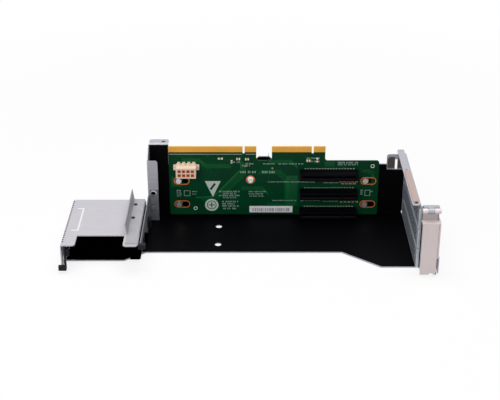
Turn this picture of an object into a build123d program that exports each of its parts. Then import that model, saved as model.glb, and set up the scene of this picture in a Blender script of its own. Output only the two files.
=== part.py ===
from build123d import *
import os

# Riser board of a flat server in its folded sheet cage, lying on the cage's cover plate.
# Millimetres. The model is laid out from the lower left front corner of the board: +X runs
# along the board to the card brackets, +Y from the cards to the back wall, +Z up. The last
# step moves everything so that the origin is under the middle of the whole, on the surface.

# Card edge and slot standard
contactPitch = 1.0
longTongue = 71.2          # long side of the wide card edge
shortTongue = 38.2         # long side of the narrow card edge
keyTongue = 11.2           # side of either card edge beyond its key
keyWidth = 1.9
keyDepth = 7.7
keyRootRadius = 0.75
slotPitch = 20.32          # distance between the three cards
slotBodyLength = 56.0
slotBodyDepth = 11.25
slotBodyHeight = 7.5
bracketWidth = 18.4
bracketOffset = 4.0        # bracket centre above the card's own centre

# Board
boardWidth = 202.9
boardThickness = 1.6
boardHeight = 72.8
shoulderHeight = 57.8
edgeGap = 15.0             # notch between the two card edges
edgeGapDepth = 14.8
bevelHeight = 1.6
bevelDepth = 0.4
notchRadius = 3.0
cornerRadius = 2.5
fingerWidth = 0.7
fingerInset = 1.6          # fingers below the board's top edge
fingerLength = 4.2
foilThickness = 0.06
ringSides = 12
floorClearance = 2.0       # board edge above the floor film
slotRightInset = 20.4      # slot bodies from the board's right edge
firstSlotHeight = 4.3      # centre of the lowest slot body
cardSlotLength = 51.4
cardSlotWidth = 1.8
cardSlotDepth = 8.6
cardSlotMouth = 0.9        # depth of the lead-in
slotBodyChamfer = 0.6
keyRibHalf = 0.85
keyRibFromRight = 14.4     # key rib centre from the right end of the body

# Board fixing
standoffLength = 6.4
standoffRadius = 2.9
keyholeRadius = 3.3
keyholeNeckRadius = 2.15
keyholeShift = 6.7         # from the round hole to the seat of the stud
keyholeLeft = 15.7         # round hole of the left pair
keyholeRightInset = 6.0    # round hole of the right pair from the board's right edge
keyholeLow = 11.3
keyholeRise = 25.0
keyholePadLength = 15.6
keyholePadHeight = 8.0
studNeckRadius = 1.7
studHeadRadius = 2.7
studHeadThickness = 1.1
studClearance = 0.1
boardScrewX = 78.8
boardScrewZ = 37.7
screwRadius = 1.5
screwHeadRadius = 3.5
screwHeadHeight = 2.1
screwPadRadius = 4.35
screwClearance = 0.1
screwChamfer = 0.9
screwReach = 6.7           # shank behind the board's front
recessDepth = 1.15
recessHalf = 1.75          # half the length of the cross recess
recessBar = 0.32           # half the width of its bars
viaRightInset = 6.4
viaShoulderDrop = 5.6
viaLeft = 24.9
viaLow = 6.7
viaRadius = 1.25
viaPadRadius = 2.15

# Power socket
headerLeft = 7.35
headerBottom = 44.9
headerLength = 19.2
headerHeight = 10.4
headerDepth = 12.8
headerPitch = 4.2
headerHole = 3.1
headerHoleDepth = 9.0
headerPin = 1.1
headerPinLength = 7.0
earLength = 2.8
earHeight = 5.4
earDepth = 4.2
earDrop = 1.2              # ears below the top of the socket
headerTabWidth = 2.7
headerTabDepth = 7.0
headerTabHeight = 1.5

# Label
labelGap = 6.5             # label's right end from the slot bodies
labelBottom = 2.2
labelLength = 42.2
labelHeight = 6.9
labelThickness = 0.1

# Chip parts on the board: place, drop below the top edge, length, height, thickness
chipParts = [
    (67.0, 12.8, 3.6, 1.8, 1.1), (75.4, 13.0, 3.6, 1.8, 1.1), (60.6, 15.8, 1.6, 3.0, 0.8),
    (134.5, 14.5, 3.6, 1.8, 1.1), (143.0, 13.8, 1.8, 4.4, 1.2), (74.0, 20.4, 2.4, 1.2, 0.7),
    (100.0, 22.8, 1.6, 1.6, 0.6), (49.8, 12.5, 4.6, 1.6, 0.8)]

# Cage sheet
sheet = 1.0
film = 0.3
bendRadius = 0.6           # inside of every fold
columnLeft = -20.5
columnRight = -0.3
columnTop = 71.5
columnFlange = 10.0        # top flange, folded to the rear
columnFlangeHole = 2.0
columnFlangeHoleX = -5.3
columnFlangeHoleBack = 4.4
backWallTop = 50.8
backWallRight = 211.0
guardTop = 58.8            # tab behind the notch between the card edges
guardInset = 0.3
guardChamfer = 2.2
returnDepth = 16.0         # side of the channel in front of the column
returnWidth = 10.2         # front of that channel
returnTop = 61.0
endPlateX = 228.7          # inside face of the end plate
endPlateFront = -102.0
endPlateTop = 62.0
topFlange = 8.1
topSlotY = -98.9
topSlotLength = 4.4
topSlotWidth = 1.6
topSlotInset = 3.6         # slot and hole from the left edge of the flange
topHoleY = -28.6
topHoleRadius = 0.9
topTabReach = 8.0          # flange past the back wall
rearFlangeLeft = 200.0
rearTabLeft = 211.2
rearTabBottom = 44.6
reliefLeft = 219.3
reliefWidth = 2.2
reliefTop = 55.2
bracketWindowHeight = 13.0
bracketWindowFront = -90.0
bracketWindowRear = -6.0
frontFlangeReach = 17.8    # folded outward behind the bracket ears
cheekDepth = 10.0
cheekTop = 14.0
floorFrontLeft = -87.5
floorFrontMiddle = -72.3
floorFrontRight = -99.5
floorLeft = -90.5
floorBoxBack = -16.0
boxChamferStart = -37.3
boxChamferEnd = -18.3
rightChamferStart = 163.3
rightChamferEnd = 197.2
floorHoleX = 48.2
floorHoleY = -21.6
floorHoleSpacing = 36.0
floorHoleRadius = 3.15
filmMargin = 0.6

# Left box
shelfTop = 24.0
shelfRight = -22.0
shelfFrontLeft = -107.0
shelfFrontRight = -108.0
shelfCutBack = -88.0
shelfCutLeft = -78.5
shelfCutRight = -35.5
shelfFoot = 8.0            # width of the feet folded inward on the floor
shelfCorner = 3.0
ventPitch = 9.6
ventRadius = 3.4
ventRows = 2
angleLeft = -33.5
angleSheet = 0.8
finHeight = 10.5
finLean = 1.6
finFront = -88.0
angleHoleRadius = 1.25
angleHoleX = -31.0
angleHoleYs = [-26.4, -53.5]
angleGap = 0.6             # strip from the shelf's right edge

# Divider beside the box
dividerFront = -104.0
dividerTop = 24.6
dividerFlangeTop = 31.0
dividerFootLength = 27.0   # wall that stands on the floor
dividerArmRoot = 10.0      # height of the arm where it leaves the floor
dividerArmTip = 6.0
dividerHoleX = -15.2
dividerHoleZ = 27.0
dividerHoleRadius = 2.3
dividerRivetX = -16.0
dividerRivetZ = 11.5
rivetRadius = 1.6
rivetHead = 0.6
rivetLow = 12.0
rivetSpacing = 24.0

# Plastic pieces
clipWidth = 6.4
clipDepth = 5.0
clipHeight = 4.4
clipGrip = 1.0             # length of divider held in the cap
clipOverhang = 1.2         # cap past the left face of the divider
footWidth = 7.0
footDepth = 3.0
footHeight = 4.6
guardRail = 1.6
hookLength = 4.4
hookDepth = 5.0
hookLow = 13.0
hookHeight = 7.0
footOverhang = 2.4         # foot past the outside of the left wall
footLift = 1.8             # foot above the cover plate
cableClipDepth = 3.2
cableClipFront = -36.0
cableClipLength = 8.0
cableClipLow = 4.0
cableClipHeight = 8.0

# Card brackets
bracketSheet = 0.8
bracketRear = 5.5
bracketTailWidth = 10.2
bracketTailLength = 8.0
bracketEar = 11.4
bracketVentPitch = 9.6
bracketVentRadius = 2.9
bracketVentRows = 2
bracketTailChamfer = 2.0
earNotchX = 7.1            # from the inside of the bracket
earNotchRadius = 2.2

# Gasket on the top flange
gasketWidth = 4.8
gasketThickness = 0.8
gasketInset = 1.4          # from the left edge of the flange
gasketRear = -30.8
gasketFront = -96.3

# Bracket latch
hingeY = -109.4
hingeRadius = 1.3
hingeClearance = 0.05
doorLeft = 230.0
doorWidth = 16.0
doorStep = 1.8             # narrow strip set back along the right edge
doorStepDepth = 0.8
doorFront = -116.0
doorBottom = -1.0
doorTop = 50.5
doorFlangeBottom = 15.0
doorLeftFlange = 3.0
doorBack = -104.0
tongueLeft = 234.9
tongueWidth = 5.2
tonguePlateLeft = 231.2
tonguePlateRight = 245.1
tonguePlateFront = -107.0
rollOpening = 0.55         # height of the open stretch of the rolled tongue
knuckleGap = 0.3
pinOverhang = 0.2
ledgeOverhang = 0.5
upperInset = 2.6           # upper plate from the right edge of the door
leftFlangeLift = 4.0
catchWidth = 2.7
catchHeight = 2.6
catchDepth = 3.0
catchDrop = 0.6            # catch below the door
catchGap = 0.4             # catch from the notch
doorNotchLeft = 238.2
doorNotchWidth = 3.6
doorNotchDepth = 1.4

# Planes that several pieces share
boardBack = boardThickness
filmFront = boardBack + standoffLength
wallFront = filmFront + film
wallBack = wallFront + sheet
filmTop = -floorClearance
floorTop = filmTop - film
floorBottom = floorTop - sheet
endPlateOut = endPlateX + sheet
slotLeft = boardWidth - slotRightInset - slotBodyLength
labelLeft = slotLeft - labelGap - labelLength
fingerTop = boardHeight - fingerInset
fingerBottom = fingerTop - fingerLength
keyholeRight = boardWidth - keyholeRightInset
rowShare = 3 ** 0.5 / 2    # row distance of a staggered pattern over its pitch
hingeZ = endPlateTop - sheet - hingeRadius - hingeClearance
knuckleInner = hingeRadius + hingeClearance
knuckleOuter = knuckleInner + sheet


def block(x0, x1, y0, y1, z0, z1):
    middle = Pos((x0 + x1) / 2, (y0 + y1) / 2, (z0 + z1) / 2)
    return middle * Box(x1 - x0, y1 - y0, z1 - z0)


def levelPlate(outline, z0, z1):
    face = make_face(Polyline(*[(x, y, z0) for x, y in outline], close=True))
    return extrude(face, amount=z1 - z0, dir=(0, 0, 1))


def wallPlate(outline, y0, y1):
    face = make_face(Polyline(*[(x, y0, z) for x, z in outline], close=True))
    return extrude(face, amount=y1 - y0, dir=(0, 1, 0))


def sidePlate(outline, x0, x1):
    face = make_face(Polyline(*[(x0, y, z) for y, z in outline], close=True))
    return extrude(face, amount=x1 - x0, dir=(1, 0, 0))


def rodAlongY(x, z, radius, y0, y1):
    return Pos(x, (y0 + y1) / 2, z) * Rot(90, 0, 0) * Cylinder(radius, y1 - y0)


def rodAlongX(y, z, radius, x0, x1):
    return Pos((x0 + x1) / 2, y, z) * Rot(0, 90, 0) * Cylinder(radius, x1 - x0)


def rodAlongZ(x, y, radius, z0, z1):
    return Pos(x, y, (z0 + z1) / 2) * Cylinder(radius, z1 - z0)


def sixSided(x, z, radius, y0, y1):
    # six-sided bar along Y, measured to its flats
    face = Plane(origin=(x, y0, z), x_dir=(1, 0, 0), z_dir=(0, 1, 0)) * RegularPolygon(
        radius, 6, major_radius=False)
    return extrude(face, amount=y1 - y0, dir=(0, 1, 0))


def ringPiece(x, z, inner, outer):
    # plated ring of twelve sides, so that many of them stay light
    face = Plane(origin=(x, 0, z), x_dir=(1, 0, 0), z_dir=(0, -1, 0)) * (
        RegularPolygon(outer, ringSides, major_radius=False) - RegularPolygon(
            inner, ringSides, major_radius=False))
    return extrude(face, amount=foilThickness, dir=(0, -1, 0))


def bendAlongX(y, z, sideY, sideZ, x0, x1, inner, thickness):
    # quarter turn of sheet about a line along X; the sides say which quarter
    outer = inner + thickness
    ring = rodAlongX(y, z, outer, x0, x1) - rodAlongX(y, z, inner, x0, x1)
    return ring & block(x0, x1, min(y, y + sideY * outer), max(y, y + sideY * outer),
                        min(z, z + sideZ * outer), max(z, z + sideZ * outer))


def bendAlongY(x, z, sideX, sideZ, y0, y1):
    outer = bendRadius + sheet
    ring = rodAlongY(x, z, outer, y0, y1) - rodAlongY(x, z, bendRadius, y0, y1)
    return ring & block(min(x, x + sideX * outer), max(x, x + sideX * outer), y0, y1,
                        min(z, z + sideZ * outer), max(z, z + sideZ * outer))


def bendAlongZ(x, y, sideX, sideY, z0, z1):
    outer = bendRadius + sheet
    ring = rodAlongZ(x, y, outer, z0, z1) - rodAlongZ(x, y, bendRadius, z0, z1)
    return ring & block(min(x, x + sideX * outer), max(x, x + sideX * outer),
                        min(y, y + sideY * outer), max(y, y + sideY * outer), z0, z1)


def edgesNear(solid, axis, x=None, y=None, z=None):
    # straight edges along one axis whose middle lies at the given place
    found = []
    for edge in solid.edges().filter_by(axis):
        middle = edge.center()
        fits = [abs(value - place) < 0.02
                for value, place in ((middle.X, x), (middle.Y, y), (middle.Z, z))
                if place is not None]
        if all(fits):
            found.append(edge)
    return found


def roundEdges(solid, radius, axis, places):
    picked = []
    for place in places:
        picked += edgesNear(solid, axis, **place)
    return fillet(picked, radius)


def meshPoints(low, high, bottom, rows, pitch):
    # centres of a staggered hole pattern, counted from the low end
    points = []
    rise = pitch * rowShare
    for row in range(rows):
        shift = pitch / 2 if row % 2 else 0
        count = int((high - low - shift) / pitch) + 1
        for column in range(count):
            points.append((low + shift + column * pitch, bottom + row * rise))
    return points


def slotHeights():
    return [firstSlotHeight + slotPitch * index for index in range(3)]


def bracketHeights():
    return [height + bracketOffset for height in slotHeights()]


def keyholePlaces():
    return [(x, keyholeLow + rise) for x in (keyholeLeft, keyholeRight) for rise in (0, keyholeRise)]


def viaPlaces():
    return [(boardWidth - viaRightInset, shoulderHeight - viaShoulderDrop), (viaLeft, viaLow)]


def tongueSpans():
    # left and right end of each stretch of contact fingers
    spans = []
    left = 0
    for length in (longTongue, keyTongue):
        spans.append((left, left + length))
        left += length + keyWidth
    left += edgeGap - keyWidth
    for length in (shortTongue, keyTongue):
        spans.append((left, left + length))
        left += length + keyWidth
    return spans


def makeBoard():
    spans = tongueSpans()
    outline = [(0, 0), (boardWidth, 0), (boardWidth, shoulderHeight), (spans[3][1], shoulderHeight)]
    depths = (keyDepth, edgeGapDepth, keyDepth)
    for index in (3, 2, 1, 0):
        left, right = spans[index]
        outline.append((right, boardHeight))
        outline.append((left, boardHeight))
        if index > 0:
            low = boardHeight - depths[index - 1]
            outline.append((left, low))
            outline.append((spans[index - 1][1], low))
    board = wallPlate(outline, 0, boardBack)
    gapLow = boardHeight - edgeGapDepth
    board = roundEdges(board, notchRadius, Axis.Y, [
        dict(x=spans[1][1], z=gapLow), dict(x=spans[2][0], z=gapLow)])
    board = roundEdges(board, cornerRadius, Axis.Y, [
        dict(x=boardWidth, z=shoulderHeight), dict(x=spans[3][1], z=shoulderHeight)])
    keyLow = boardHeight - keyDepth
    for left, right in ((spans[0][1], spans[1][0]), (spans[2][1], spans[3][0])):
        board = roundEdges(board, keyRootRadius, Axis.Y, [dict(x=left, z=keyLow), dict(x=right, z=keyLow)])
    bevelLow = boardHeight - bevelHeight
    reach = boardThickness
    front = [(-reach, bevelLow), (0, bevelLow), (bevelDepth, boardHeight),
             (bevelDepth, boardHeight + reach), (-reach, boardHeight + reach)]
    back = [(boardThickness - y, z) for y, z in front]
    board -= sidePlate(front, -reach, spans[3][1] + reach)
    board -= sidePlate(back, -reach, spans[3][1] + reach)
    for x, z in keyholePlaces():
        board -= makeKeyhole(x, z, 0, boardBack)
    board -= rodAlongY(boardScrewX, boardScrewZ, screwRadius + screwClearance, -reach, boardBack + reach)
    for x, z in viaPlaces():
        board -= rodAlongY(x, z, viaRadius, -reach, boardBack + reach)
    return board


def makeKeyhole(x, z, y0, y1):
    # round entry on the right, narrow seat on the left
    neck = block(x - keyholeShift, x, y0, y1, z - keyholeNeckRadius, z + keyholeNeckRadius)
    hole = rodAlongY(x, z, keyholeRadius, y0, y1) + neck
    return hole + rodAlongY(x - keyholeShift, z, keyholeNeckRadius, y0, y1)


def padOutline(x, z):
    # twelve-sided ends joined by straight sides
    radius = keyholePadHeight / 2
    left = x + radius * 2 - keyholePadLength
    outer = Pos(x, z) * RegularPolygon(radius, ringSides, major_radius=False)
    outer += Pos(left, z) * RegularPolygon(radius, ringSides, major_radius=False)
    outer += Pos((x + left) / 2, z) * Rectangle(x - left, keyholePadHeight)
    inner = Pos(x, z) * RegularPolygon(keyholeRadius, ringSides, major_radius=False)
    seat = x - keyholeShift
    inner += Pos(seat, z) * RegularPolygon(keyholeNeckRadius, ringSides, major_radius=False)
    inner += Pos((x + seat) / 2, z) * Rectangle(keyholeShift, keyholeNeckRadius * 2)
    return outer - inner


def makeKeyholePads():
    pads = []
    front = Plane(origin=(0, -foilThickness, 0), x_dir=(1, 0, 0), z_dir=(0, -1, 0))
    for x, z in keyholePlaces():
        pads.append(extrude(front * padOutline(x, z), amount=foilThickness, dir=(0, 1, 0)))
    for x, z in viaPlaces():
        pads.append(ringPiece(x, z, viaRadius, viaPadRadius))
    pads.append(ringPiece(boardScrewX, boardScrewZ, screwRadius + screwClearance, screwPadRadius))
    return pads


def makeFingers():
    fingers = []
    for left, right in tongueSpans():
        count = int((right - left) / contactPitch)
        first = (left + right) / 2 - (count - 1) / 2 * contactPitch
        for index in range(count):
            x = first + index * contactPitch
            fingers.append(block(x - fingerWidth / 2, x + fingerWidth / 2, -foilThickness, 0,
                                 fingerBottom, fingerTop))
    return fingers


def makeSlotBody(height):
    left = slotLeft
    right = slotLeft + slotBodyLength
    front = -slotBodyDepth
    body = block(left, right, front, 0, height - slotBodyHeight / 2, height + slotBodyHeight / 2)
    body = chamfer(body.edges().filter_by(Axis.Y), slotBodyChamfer)
    ribX = right - keyRibFromRight
    middle = (left + right) / 2
    half = cardSlotWidth / 2
    for x0, x1 in ((middle - cardSlotLength / 2, ribX - keyRibHalf),
                   (ribX + keyRibHalf, middle + cardSlotLength / 2)):
        body -= block(x0, x1, front, front + cardSlotDepth, height - half, height + half)
        mouth = [(front, height - half - cardSlotMouth), (front + cardSlotMouth, height - half),
                 (front + cardSlotMouth, height + half), (front, height + half + cardSlotMouth)]
        body -= sidePlate(mouth, x0, x1)
    return body


def makeHeader():
    left = headerLeft
    right = headerLeft + headerLength
    low = headerBottom
    high = headerBottom + headerHeight
    body = block(left, right, -headerDepth, 0, low, high)
    earLow = high - earHeight
    body += block(left - earLength, right + earLength, -earDepth, 0, earLow, high - earDrop)
    tabPitch = headerLength / 4
    for index in range(4):
        x = left + tabPitch * (index + 0.5)
        body += block(x - headerTabWidth / 2, x + headerTabWidth / 2, -headerTabDepth, 0,
                      high, high + headerTabHeight)
    for x, z in headerPlaces():
        half = headerHole / 2
        body -= block(x - half, x + half, -headerDepth, headerHoleDepth - headerDepth, z - half, z + half)
    return body


def headerPlaces():
    middleX = headerLeft + headerLength / 2
    middleZ = headerBottom + headerHeight / 2
    return [(middleX + headerPitch * (column - 1.5), middleZ + headerPitch * (row - 0.5))
            for column in range(4) for row in range(2)]


def makeHeaderPins():
    pins = []
    root = headerHoleDepth - headerDepth
    half = headerPin / 2
    for x, z in headerPlaces():
        pins.append(block(x - half, x + half, root - headerPinLength, root, z - half, z + half))
    return pins


def makeStuds():
    # headed studs pressed into the back wall, each seated in the neck of a keyhole
    studs = []
    for x, z in keyholePlaces():
        seatX = x - keyholeShift
        stud = sixSided(seatX, z, standoffRadius, boardBack, wallFront)
        stud += sixSided(seatX, z, studNeckRadius, -studClearance, boardBack)
        head = rodAlongY(seatX, z, studHeadRadius, -studClearance - studHeadThickness, -studClearance)
        studs.append(stud + head)
    return studs


def makeStandoff():
    body = sixSided(boardScrewX, boardScrewZ, standoffRadius, boardBack, wallFront)
    return body - rodAlongY(boardScrewX, boardScrewZ, screwRadius + screwClearance, boardBack, filmFront)


def makeBoardScrew():
    seat = -foilThickness
    head = rodAlongY(boardScrewX, boardScrewZ, screwHeadRadius, seat - screwHeadHeight, seat)
    head = chamfer(head.edges().filter_by(GeomType.CIRCLE).group_by(Axis.Y)[0], screwChamfer)
    screw = head + rodAlongY(boardScrewX, boardScrewZ, screwRadius, seat, screwReach)
    top = seat - screwHeadHeight
    for wide, high in ((recessHalf, recessBar), (recessBar, recessHalf)):
        screw -= block(boardScrewX - wide, boardScrewX + wide, top, top + recessDepth,
                       boardScrewZ - high, boardScrewZ + high)
    return screw


def makeSmallComponents():
    chips = []
    for x, drop, length, height, thickness in chipParts:
        z = boardHeight - drop
        chips.append(block(x - length / 2, x + length / 2, -thickness, 0, z - height / 2, z + height / 2))
    return chips


def makeLabel():
    right = labelLeft + labelLength
    return block(labelLeft, right, -labelThickness, 0, labelBottom, labelBottom + labelHeight)


def frontOutline(margin, left, right):
    # front edge of the cover plate from the divider to the end plate, drawn in by a margin
    return [
        (left, floorFrontMiddle + margin), (rightChamferStart + margin, floorFrontMiddle + margin),
        (rightChamferEnd + margin, floorFrontRight + margin), (right, floorFrontRight + margin)]


def boxFrontOutline(margin, left):
    # front edge of the cover plate under the left box
    return [
        (left, floorFrontLeft + margin), (boxChamferStart - margin, floorFrontLeft + margin),
        (boxChamferEnd - margin, floorFrontMiddle + margin)]


def cutFloorHoles(plate, z0, z1):
    for index in range(2):
        y = floorHoleY - index * floorHoleSpacing
        plate -= rodAlongZ(floorHoleX, y, floorHoleRadius, z0, z1)
    return plate


def makeFloor():
    right = endPlateX - bendRadius
    back = wallFront - bendRadius
    outline = boxFrontOutline(0, floorLeft) + frontOutline(0, boxChamferEnd, right)[1:]
    outline += [(right, back), (columnLeft, back), (columnLeft, floorBoxBack), (floorLeft, floorBoxBack)]
    floor = cutFloorHoles(levelPlate(outline, floorBottom, floorTop), floorBottom, floorTop)
    rearFold = bendAlongX(back, floorTop + bendRadius, 1, -1, columnLeft, backWallRight, bendRadius, sheet)
    endFold = bendAlongY(right, floorTop + bendRadius, 1, -1, floorFrontRight, back)
    return floor + rearFold + endFold


def guardSpan():
    spans = tongueSpans()
    return spans[1][1] + guardInset, spans[2][0] - guardInset


def makeBackWall():
    guardLeft, guardRight = guardSpan()
    low = floorTop + bendRadius
    left = columnLeft + sheet + bendRadius
    head = columnTop - bendRadius
    outline = [
        (columnLeft, low), (backWallRight, low), (backWallRight, backWallTop),
        (guardRight, backWallTop), (guardRight, guardTop - guardChamfer),
        (guardRight - guardChamfer, guardTop), (guardLeft + guardChamfer, guardTop),
        (guardLeft, guardTop - guardChamfer), (guardLeft, backWallTop),
        (columnRight, backWallTop), (columnRight, head), (left, head), (left, low + sheet),
        (columnLeft, low + sheet)]
    return wallPlate(outline, wallFront, wallBack)


def makeColumnFlange():
    # shelf at the head of the column, folded to the rear
    left = columnLeft + sheet + bendRadius
    foldY = wallBack + bendRadius
    back = wallFront + columnFlange
    flange = block(left, columnRight, foldY, back, columnTop, columnTop + sheet)
    flange = roundEdges(flange, cornerRadius, Axis.Z, [dict(x=left, y=back), dict(x=columnRight, y=back)])
    holeY = wallFront + columnFlangeHoleBack
    flange -= rodAlongZ(columnFlangeHoleX, holeY, columnFlangeHole, columnTop, columnTop + sheet)
    return flange + bendAlongX(foldY, columnTop - bendRadius, -1, 1, left, columnRight, bendRadius, sheet)


def makeReturnChannel():
    # side and front of the channel that stiffens the column
    front = wallFront - returnDepth
    foldX = columnLeft + sheet + bendRadius
    rearY = wallFront - bendRadius
    frontY = front + sheet + bendRadius
    low = floorTop + bendRadius + sheet
    head = columnTop - bendRadius
    side = sidePlate([(rearY, low), (rearY, head), (frontY, returnTop), (frontY, filmTop),
                      (rearY - sheet, filmTop)], columnLeft, columnLeft + sheet)
    face = block(foldX, columnLeft + returnWidth, front, front + sheet, filmTop, returnTop)
    face = roundEdges(face, cornerRadius, Axis.Y, [dict(x=columnLeft + returnWidth, z=returnTop)])
    channel = side + face + bendAlongZ(foldX, rearY, -1, 1, low, head)
    channel += bendAlongZ(foldX, frontY, -1, -1, filmTop, returnTop)
    return channel - rodAlongY(dividerHoleX, dividerHoleZ, dividerHoleRadius, front, front + sheet)


def makeEndPlate():
    front = endPlateFront + sheet + bendRadius
    rear = wallBack - bendRadius
    low = floorTop + bendRadius
    high = endPlateTop - sheet - bendRadius
    plate = sidePlate([(front, low), (rear, low), (rear, high), (front, high)], endPlateX, endPlateOut)
    for height in bracketHeights():
        plate -= block(endPlateX, endPlateOut, bracketWindowFront, bracketWindowRear,
                       height - bracketWindowHeight / 2, height + bracketWindowHeight / 2)
    return plate


def makeTopFlange():
    foldX = endPlateX - bendRadius
    rear = wallBack + topTabReach
    left = endPlateOut - topFlange
    flange = block(left, foldX, endPlateFront, rear, endPlateTop - sheet, endPlateTop)
    flange = roundEdges(flange, cornerRadius, Axis.Z, [dict(x=left, y=endPlateFront), dict(x=left, y=rear)])
    x = left + topSlotInset
    slot = block(x - topSlotLength / 2, x + topSlotLength / 2, topSlotY - topSlotWidth / 2,
                 topSlotY + topSlotWidth / 2, endPlateTop - sheet, endPlateTop)
    hole = rodAlongZ(x, topHoleY, topHoleRadius, endPlateTop - sheet, endPlateTop)
    fold = bendAlongY(foldX, endPlateTop - sheet - bendRadius, 1, 1, endPlateFront + sheet + bendRadius,
                      wallBack - bendRadius)
    return flange - slot - hole + fold


def makeRearFlange():
    foldX = endPlateX - bendRadius
    low = floorTop + bendRadius + sheet
    high = endPlateTop - sheet - bendRadius
    outline = [
        (rearFlangeLeft, low), (foldX, low), (foldX, high), (rearTabLeft, high),
        (rearTabLeft, rearTabBottom), (rearFlangeLeft, rearTabBottom)]
    flange = wallPlate(outline, wallBack, wallBack + sheet)
    flange = roundEdges(flange, cornerRadius, Axis.Y, [dict(x=rearTabLeft, z=high)])
    relief = block(reliefLeft, reliefLeft + reliefWidth, wallBack, wallBack + sheet,
                   rearTabBottom, reliefTop)
    return flange - relief + bendAlongZ(foldX, wallBack - bendRadius, 1, 1, low, high)


def makeFrontFlange():
    # folded outward behind the bracket ears, with the cheek and the tongue of the hinge
    right = endPlateOut + frontFlangeReach
    back = endPlateFront + sheet
    foldY = endPlateFront - bendRadius
    high = endPlateTop - sheet - bendRadius
    flange = block(endPlateOut + bendRadius, right - sheet - bendRadius, endPlateFront, back, floorTop, high)
    flange += bendAlongZ(endPlateOut + bendRadius, back + bendRadius, -1, -1, floorTop + bendRadius, high)
    cheek = block(right - sheet, right, back - cheekDepth, foldY, floorTop, cheekTop)
    cheek += bendAlongZ(right - sheet - bendRadius, foldY, 1, 1, floorTop, cheekTop)
    plate = block(tonguePlateLeft, tonguePlateRight, tonguePlateFront, foldY,
                  endPlateTop - sheet, endPlateTop)
    plate = roundEdges(plate, sheet, Axis.Z, [dict(x=tonguePlateLeft, y=tonguePlateFront),
                                              dict(x=tonguePlateRight, y=tonguePlateFront)])
    plate += bendAlongX(foldY, high, 1, 1, tonguePlateLeft, tonguePlateRight, bendRadius, sheet)
    return flange + cheek + plate + makeTongue()


def makeTongue():
    # strip rolled round the hinge pin
    right = tongueLeft + tongueWidth
    strip = block(tongueLeft, right, hingeY, tonguePlateFront + sheet, endPlateTop - sheet, endPlateTop)
    roll = rodAlongX(hingeY, hingeZ, knuckleOuter, tongueLeft, right)
    roll -= rodAlongX(hingeY, hingeZ, knuckleInner, tongueLeft, right)
    opening = block(tongueLeft, right, hingeY, hingeY + knuckleOuter, hingeZ - rollOpening,
                    endPlateTop - sheet)
    return strip + (roll - opening)


def makeCage():
    cage = makeFloor() + makeBackWall()
    cage += makeColumnFlange()
    cage += makeReturnChannel()
    cage += makeEndPlate()
    cage += makeTopFlange()
    cage += makeRearFlange()
    cage += makeFrontFlange()
    return cage


def makeBayFilm():
    # one black sheet over the bay's floor, the back wall and the column
    guardLeft, guardRight = guardSpan()
    guardLeft += filmMargin
    guardRight -= filmMargin
    left = columnLeft + sheet + bendRadius
    right = endPlateX - bendRadius
    back = wallFront - bendRadius
    low = floorTop + bendRadius
    outline = frontOutline(filmMargin, left, right) + [(right, back), (left, back)]
    floor = cutFloorHoles(levelPlate(outline, floorTop, filmTop), floorTop, filmTop)
    outline = [
        (left, low), (right, low), (right, rearTabBottom), (rearTabLeft, rearTabBottom),
        (rearTabLeft, backWallTop - filmMargin), (guardRight, backWallTop - filmMargin),
        (guardRight, guardTop - guardChamfer), (guardRight - guardChamfer, guardTop - filmMargin),
        (guardLeft + guardChamfer, guardTop - filmMargin), (guardLeft, guardTop - guardChamfer),
        (guardLeft, backWallTop - filmMargin), (columnRight - filmMargin, backWallTop - filmMargin),
        (columnRight - filmMargin, columnTop - filmMargin), (left, columnTop - filmMargin)]
    wall = wallPlate(outline, filmFront, wallFront)
    for x, z in keyholePlaces():
        wall -= sixSided(x - keyholeShift, z, standoffRadius, filmFront, wallFront)
    wall -= sixSided(boardScrewX, boardScrewZ, standoffRadius, filmFront, wallFront)
    return floor + wall + bendAlongX(back, low, 1, -1, left, right, bendRadius - film, film)


def makeBoxFilm():
    # the same black sheet on the floor of the left box, between the shelf's feet
    left = floorLeft + shelfFoot + filmMargin
    right = shelfRight - sheet - shelfFoot - filmMargin
    front = floorFrontLeft + filmMargin
    back = floorBoxBack - filmMargin
    corner = boxChamferStart - filmMargin
    slope = (floorFrontMiddle - floorFrontLeft) / (boxChamferEnd - boxChamferStart)
    outline = [(left, front), (corner, front), (right, front + (right - corner) * slope), (right, back),
               (left, back)]
    return levelPlate(outline, floorTop, filmTop)


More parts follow.
